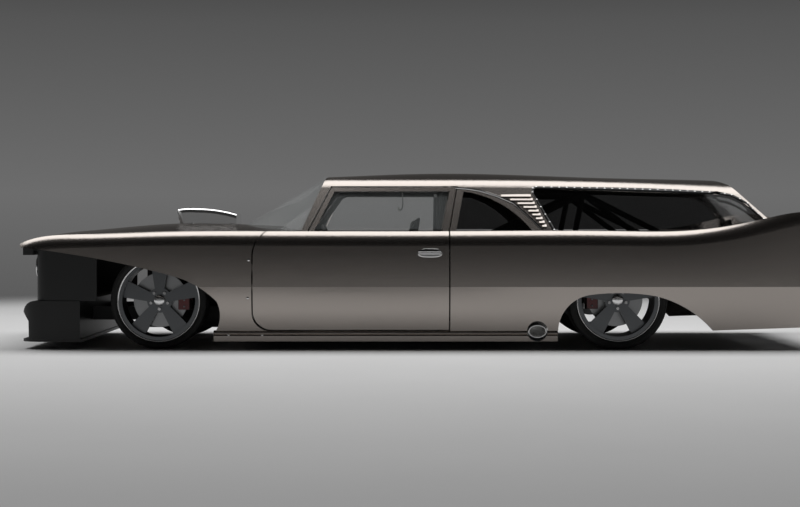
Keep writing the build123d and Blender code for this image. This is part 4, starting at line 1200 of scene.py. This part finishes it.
@dataclass
class Seats:
    """Two bucket seats: moulded shells on rails, with sewn pads."""

    y: float = 0.37
    # Line of the shell's inside as (along, up), and how far its wings stand up there
    line: tuple[tuple[float, float, float], ...] = (
        (-0.540, 0.246, 0.020), (-0.500, 0.218, 0.044), (-0.360, 0.198, 0.066), (-0.220, 0.190, 0.080),
        (-0.155, 0.212, 0.090), (-0.118, 0.285, 0.088), (-0.098, 0.400, 0.080), (-0.078, 0.550, 0.080),
        (-0.060, 0.700, 0.075), (-0.042, 0.815, 0.040), (-0.034, 0.862, 0.010),
    )
    half_width: float = 0.236
    shell_steps: int = 24
    shell_wall: float = 7 * MM
    # Where the wings start to rise and the run of the rise, as shares of the half width
    wing_from: float = 0.66
    wing_run: float = 0.30
    pads: tuple[Pad, ...] = (
        Pad("seat_pad", (-0.352, 0.232), (0.172, 0.172), 0.062, 3.0, (-0.45, 0.45)),
        Pad("back_pad", (-0.110, 0.520), (0.180, 0.165), 0.058, -82.0, (-0.5, 0.0, 0.5)),
        Pad("head_pad", (-0.072, 0.785), (0.058, 0.125), 0.045, -81.0, ()),
    )
    filling: Filling = Filling()
    fill: float = 0.8
    rail_y: float = 0.15
    rail_z: float = 0.106
    rail_x: tuple[float, ...] = (-0.49, -0.4, -0.2, -0.12)
    rail_r: float = 11 * MM
    rail_flat: float = 0.9
    # Station and top of each leg, and the height of its middle
    legs: tuple[tuple[float, float], ...] = ((-0.44, 0.205), (-0.20, 0.186))
    leg_middle: float = 0.15
    leg_r: float = 9 * MM

    def build(self) -> None:
        """Make both seats, fill the first one's pads and give the second the same shape."""
        made = []
        for side, sign in SIDES.items():
            y = sign * self.y
            shell = self.shell(side, y)
            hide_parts("seats")
            self.rails(side, y)
            made += [(pad, pad.make(side, y), y) for pad in self.pads]
        count = len(self.pads)
        self.filling.swell([obj for _, obj, _ in made[:count]])
        for (_, first, y), (_, second, other_y) in zip(made, made[count:]):
            for vert, twin in zip(second.data.vertices, first.data.vertices):
                vert.co = twin.co + Vector((0, other_y - y, 0))
        for pad, obj, y in made:
            pad.sew(obj, y)

    def shell(self, side: str, y: float) -> bpy.types.Object:
        """Mould one shell with raised wings.

        Args:
            side: Name of the seat.
            y: Middle of the seat across the car.

        Returns:
            The shell.
        """
        mesh = bmesh.new()
        rows = []
        last = len(self.line) - 1
        for i, (x, z, wing) in enumerate(self.line):
            before, after = self.line[max(i - 1, 0)], self.line[min(i + 1, last)]
            along = Vector((after[0] - before[0], 0, after[1] - before[1])).normalized()
            inward = Vector((-along.z, 0, along.x))
            row = []
            for k in range(self.shell_steps + 1):
                v = 2 * k / self.shell_steps - 1
                rise = min(1.0, max(0.0, (abs(v) - self.wing_from) / self.wing_run))
                lift = wing * rise**2 * (3 - 2 * rise)
                row.append(mesh.verts.new(Vector((x, y + v * self.half_width, z)) + inward * lift))
            rows.append(row)
        for a, b in zip(rows, rows[1:]):
            for k in range(self.shell_steps):
                mesh.faces.new((a[k], a[k + 1], b[k + 1], b[k]))
        obj = add_piece(f"seat_shell_{side}", mesh, SHELL, "body", split=False)
        wall = obj.modifiers.new("wall", "SOLIDIFY")
        wall.thickness, wall.offset = self.shell_wall, -1.0
        smooth = obj.modifiers.new("smooth", "SUBSURF")
        smooth.levels, smooth.render_levels = 2, 2
        return obj

    def rails(self, side: str, y: float) -> None:
        """Stand the shell on two floor rails with legs.

        Args:
            side: Name of the seat.
            y: Middle of the seat across the car.
        """
        mesh = bmesh.new()
        for across in (y - self.rail_y, y + self.rail_y):
            rail = [Vector((x, across, self.rail_z)) for x in self.rail_x]
            sweep_into(mesh, rail, self.rail_r, self.rail_flat, 12)
            for x, top in self.legs:
                leg = [Vector((x, across, z)) for z in (self.rail_z, self.leg_middle, top)]
                sweep_into(mesh, leg, self.leg_r, 1.0, 12)
        add_piece(f"seat_rails_{side}", mesh, POWDER, "body")


@dataclass
class Cabin:
    """Chassis, cage and what shows through the glass."""

    # Place across, height and radius of each gauge
    gauges: tuple[tuple[float, float, float], ...] = (
        (-0.46, 0.665, 0.050), (-0.345, 0.665, 0.050),
        (-0.245, 0.66, 0.030), (-0.16, 0.66, 0.030), (-0.075, 0.66, 0.030),
    )
    # How far the dial, its bezel and its needle stand off the dash
    dial_off: float = 2 * MM
    bezel_off: float = 3 * MM
    needle_off: float = 5 * MM
    dial_thick: float = 3 * MM
    # Front radius of the dial over its rear one, and reach of the needle over the dial's radius
    dial_draft: float = 0.97
    needle_reach: float = 0.5
    bezel_r: float = 4 * MM
    needle_r: float = 1.2 * MM
    # Station and height along the hook that hangs under the roof rail
    hook: tuple[tuple[float, float], ...] = (
        (-0.150, 1.035), (-0.148, 1.0), (-0.146, 0.955), (-0.150, 0.925),
        (-0.162, 0.910), (-0.174, 0.916), (-0.176, 0.932),
    )
    hook_y: float = -0.57
    hook_r: float = 4 * MM

    def dress(self) -> None:
        """Finish the cabin and chassis nodes."""
        finishes = {
            "floor": POWDER, "front_rails": POWDER, "rear_rails": POWDER, "roll_cage": CAGE,
            "dash": ABS, "steering_wheel": SUEDE, "seats": VINYL,
        }
        for name, finish in finishes.items():
            paint_node(name, finish)

    def build(self) -> None:
        """Make the dash gauges and the hook under the roof rail."""
        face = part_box("dash")[1].x
        bezels, dials = bmesh.new(), bmesh.new()
        for y, z, r in self.gauges:
            ring = oval_path(Vector((face + self.bezel_off, y, z)), (r, r), ACROSS, 40)
            sweep_into(bezels, ring, self.bezel_r, facing=ALONG)
            spot = Vector((face + self.dial_off, y, z))
            bmesh.ops.create_cone(
                dials, cap_ends=True, segments=40, radius1=r, radius2=r * self.dial_draft,
                depth=self.dial_thick, matrix=Matrix.Translation(spot) @ Matrix.Rotation(math.pi / 2, 4, "Y"),
            )
            pivot = Vector((face + self.needle_off, y, z))
            tip = pivot + (UP - ACROSS) * r * self.needle_reach
            sweep_into(bezels, [pivot, tip], self.needle_r, sides=6, facing=ALONG)
        add_piece("gauge_bezels", bezels, CHROME, "body")
        add_piece("gauge_dials", dials, BLACK, "body")
        path = [Vector((x, self.hook_y, z)) for x, z in self.hook]
        add_bar("roof_rail_hook", path, self.hook_r, STAINLESS, "body")


@dataclass
class Studio:
    """Floor, light and camera."""

    camera_at: tuple[float, float, float] = (-0.165, -11.95, 0.792)
    lens: float = 76.5
    # The photograph's horizon lies this far off its middle, pixels over the image's width
    horizon_shift: float = -25.5 / 800
    floor_r: float = 9.5
    fade_r: float = 6.0
    # Shades of the room before and behind the car, and the directions between which they blend
    dark_end: str = "#161616"
    back_wall: str = "#6b6b6b"
    blend: tuple[float, float] = (-0.5, 0.6)
    # Slopes between which the backdrop's ramp runs, and the shade at each place on the ramp
    ramp: tuple[float, float] = (-0.2, 0.6)
    backdrop: tuple[tuple[float, str], ...] = (
        (0.0, "#959595"), (0.1, "#868686"), (0.2, "#5c5c5c"), (0.275, "#6c6c6c"), (0.4, "#555555"),
        (0.48, "#2c2c2c"), (0.7, "#161616"),
    )
    softbox_at: tuple[float, float, float] = (0.0, 1.2, 8.0)
    softbox_size: tuple[float, float] = (18.0, 6.0)
    softbox_watts: float = 900.0

    def build(self) -> None:
        """Set the stage and the camera."""
        scene = bpy.context.scene
        scene.view_settings.view_transform = "Standard"
        camera = bpy.data.objects.new("camera", bpy.data.cameras.new("camera"))
        scene.collection.objects.link(camera)
        camera.location = self.camera_at
        camera.rotation_euler = (math.pi / 2, 0, 0)
        camera.data.lens = self.lens
        camera.data.shift_y = self.horizon_shift
        scene.camera = camera
        self.floor()
        self.room()
        self.softbox()

    def floor(self) -> None:
        """Lay a round pale floor that fades out at its rim."""
        mesh = bmesh.new()
        bmesh.ops.create_circle(mesh, cap_ends=True, segments=96, radius=self.floor_r)
        data = bpy.data.meshes.new("studio_floor")
        mesh.to_mesh(data)
        mesh.free()
        floor = bpy.data.objects.new("studio_floor", data)
        bpy.context.scene.collection.objects.link(floor)
        made = PAINTED_FLOOR.material()
        tree = made.node_tree
        place = add_node(tree, "ShaderNodeTexCoord", {}, {})
        far = add_node(tree, "ShaderNodeVectorMath", {"operation": "LENGTH"}, {0: place.outputs["Object"]})
        limits = {"From Min": self.fade_r, "From Max": self.floor_r, "To Min": 1.0, "To Max": 0.0}
        fade = add_node(
            tree,
            "ShaderNodeMapRange",
            {"interpolation_type": "SMOOTHSTEP", **limits},
            {"Value": far.outputs["Value"]},
        )
        tree.links.new(fade.outputs["Result"], tree.nodes["Principled BSDF"].inputs["Alpha"])
        data.materials.append(made)

    def room(self) -> None:
        """Put a dim room round the car, and a grey backdrop that the camera, glass and metal see."""
        world = bpy.data.worlds.new("studio")
        bpy.context.scene.world = world
        world.use_nodes = True
        tree = world.node_tree
        place = add_node(tree, "ShaderNodeTexCoord", {}, {})
        split = add_node(tree, "ShaderNodeSeparateXYZ", {}, {0: place.outputs["Generated"]})
        shares = []
        for axis, (start, end) in (("Y", self.blend), ("Z", self.ramp)):
            limits = {"From Min": start, "From Max": end}
            node = add_node(tree, "ShaderNodeMapRange", limits, {"Value": split.outputs[axis]})
            shares.append(node.outputs["Result"])
        dim = add_node(
            tree,
            "ShaderNodeMix",
            {"data_type": "RGBA", 6: linear(self.dark_end), 7: linear(self.back_wall)},
            {0: shares[0]},
        )
        grey = add_node(tree, "ShaderNodeValToRGB", {}, {0: shares[1]})
        steps = grey.color_ramp.elements
        for place_at, _ in self.backdrop[1:-1]:
            steps.new(place_at)
        for step, (place_at, shade) in zip(steps, self.backdrop):
            step.position = place_at
            step.color = linear(shade)
        rays = add_node(tree, "ShaderNodeLightPath", {}, {})
        seen = rays.outputs["Is Camera Ray"]
        for kind in ("Is Transmission Ray", "Is Glossy Ray"):
            pair = {0: seen, 1: rays.outputs[kind]}
            seen = add_node(tree, "ShaderNodeMath", {"operation": "MAXIMUM"}, pair).outputs["Value"]
        shown = add_node(
            tree,
            "ShaderNodeMix",
            {"data_type": "RGBA"},
            {0: seen, 6: dim.outputs[2], 7: grey.outputs["Color"]},
        )
        tree.links.new(shown.outputs[2], tree.nodes["Background"].inputs["Color"])

    def softbox(self) -> None:
        """Hang a soft box level over the car."""
        lamp = bpy.data.lights.new("top_softbox", "AREA")
        lamp.shape = "RECTANGLE"
        lamp.size, lamp.size_y = self.softbox_size
        lamp.energy = self.softbox_watts
        obj = bpy.data.objects.new("top_softbox", lamp)
        bpy.context.scene.collection.objects.link(obj)
        obj.location = self.softbox_at


def main() -> None:
    """Build and dress the car."""
    logging.basicConfig(level=logging.INFO, format="%(message)s")
    corners = [Corner(end, side, *TYRES[end]) for side in SIDES for end in TYRES]
    for part in (Bodywork(), Greenhouse(), RunningGear(corners), EndsAndTrim(), Cabin()):
        part.dress()
        part.build()
    Seats().build()
    Studio().build()


if __name__ == "__main__":
    main()
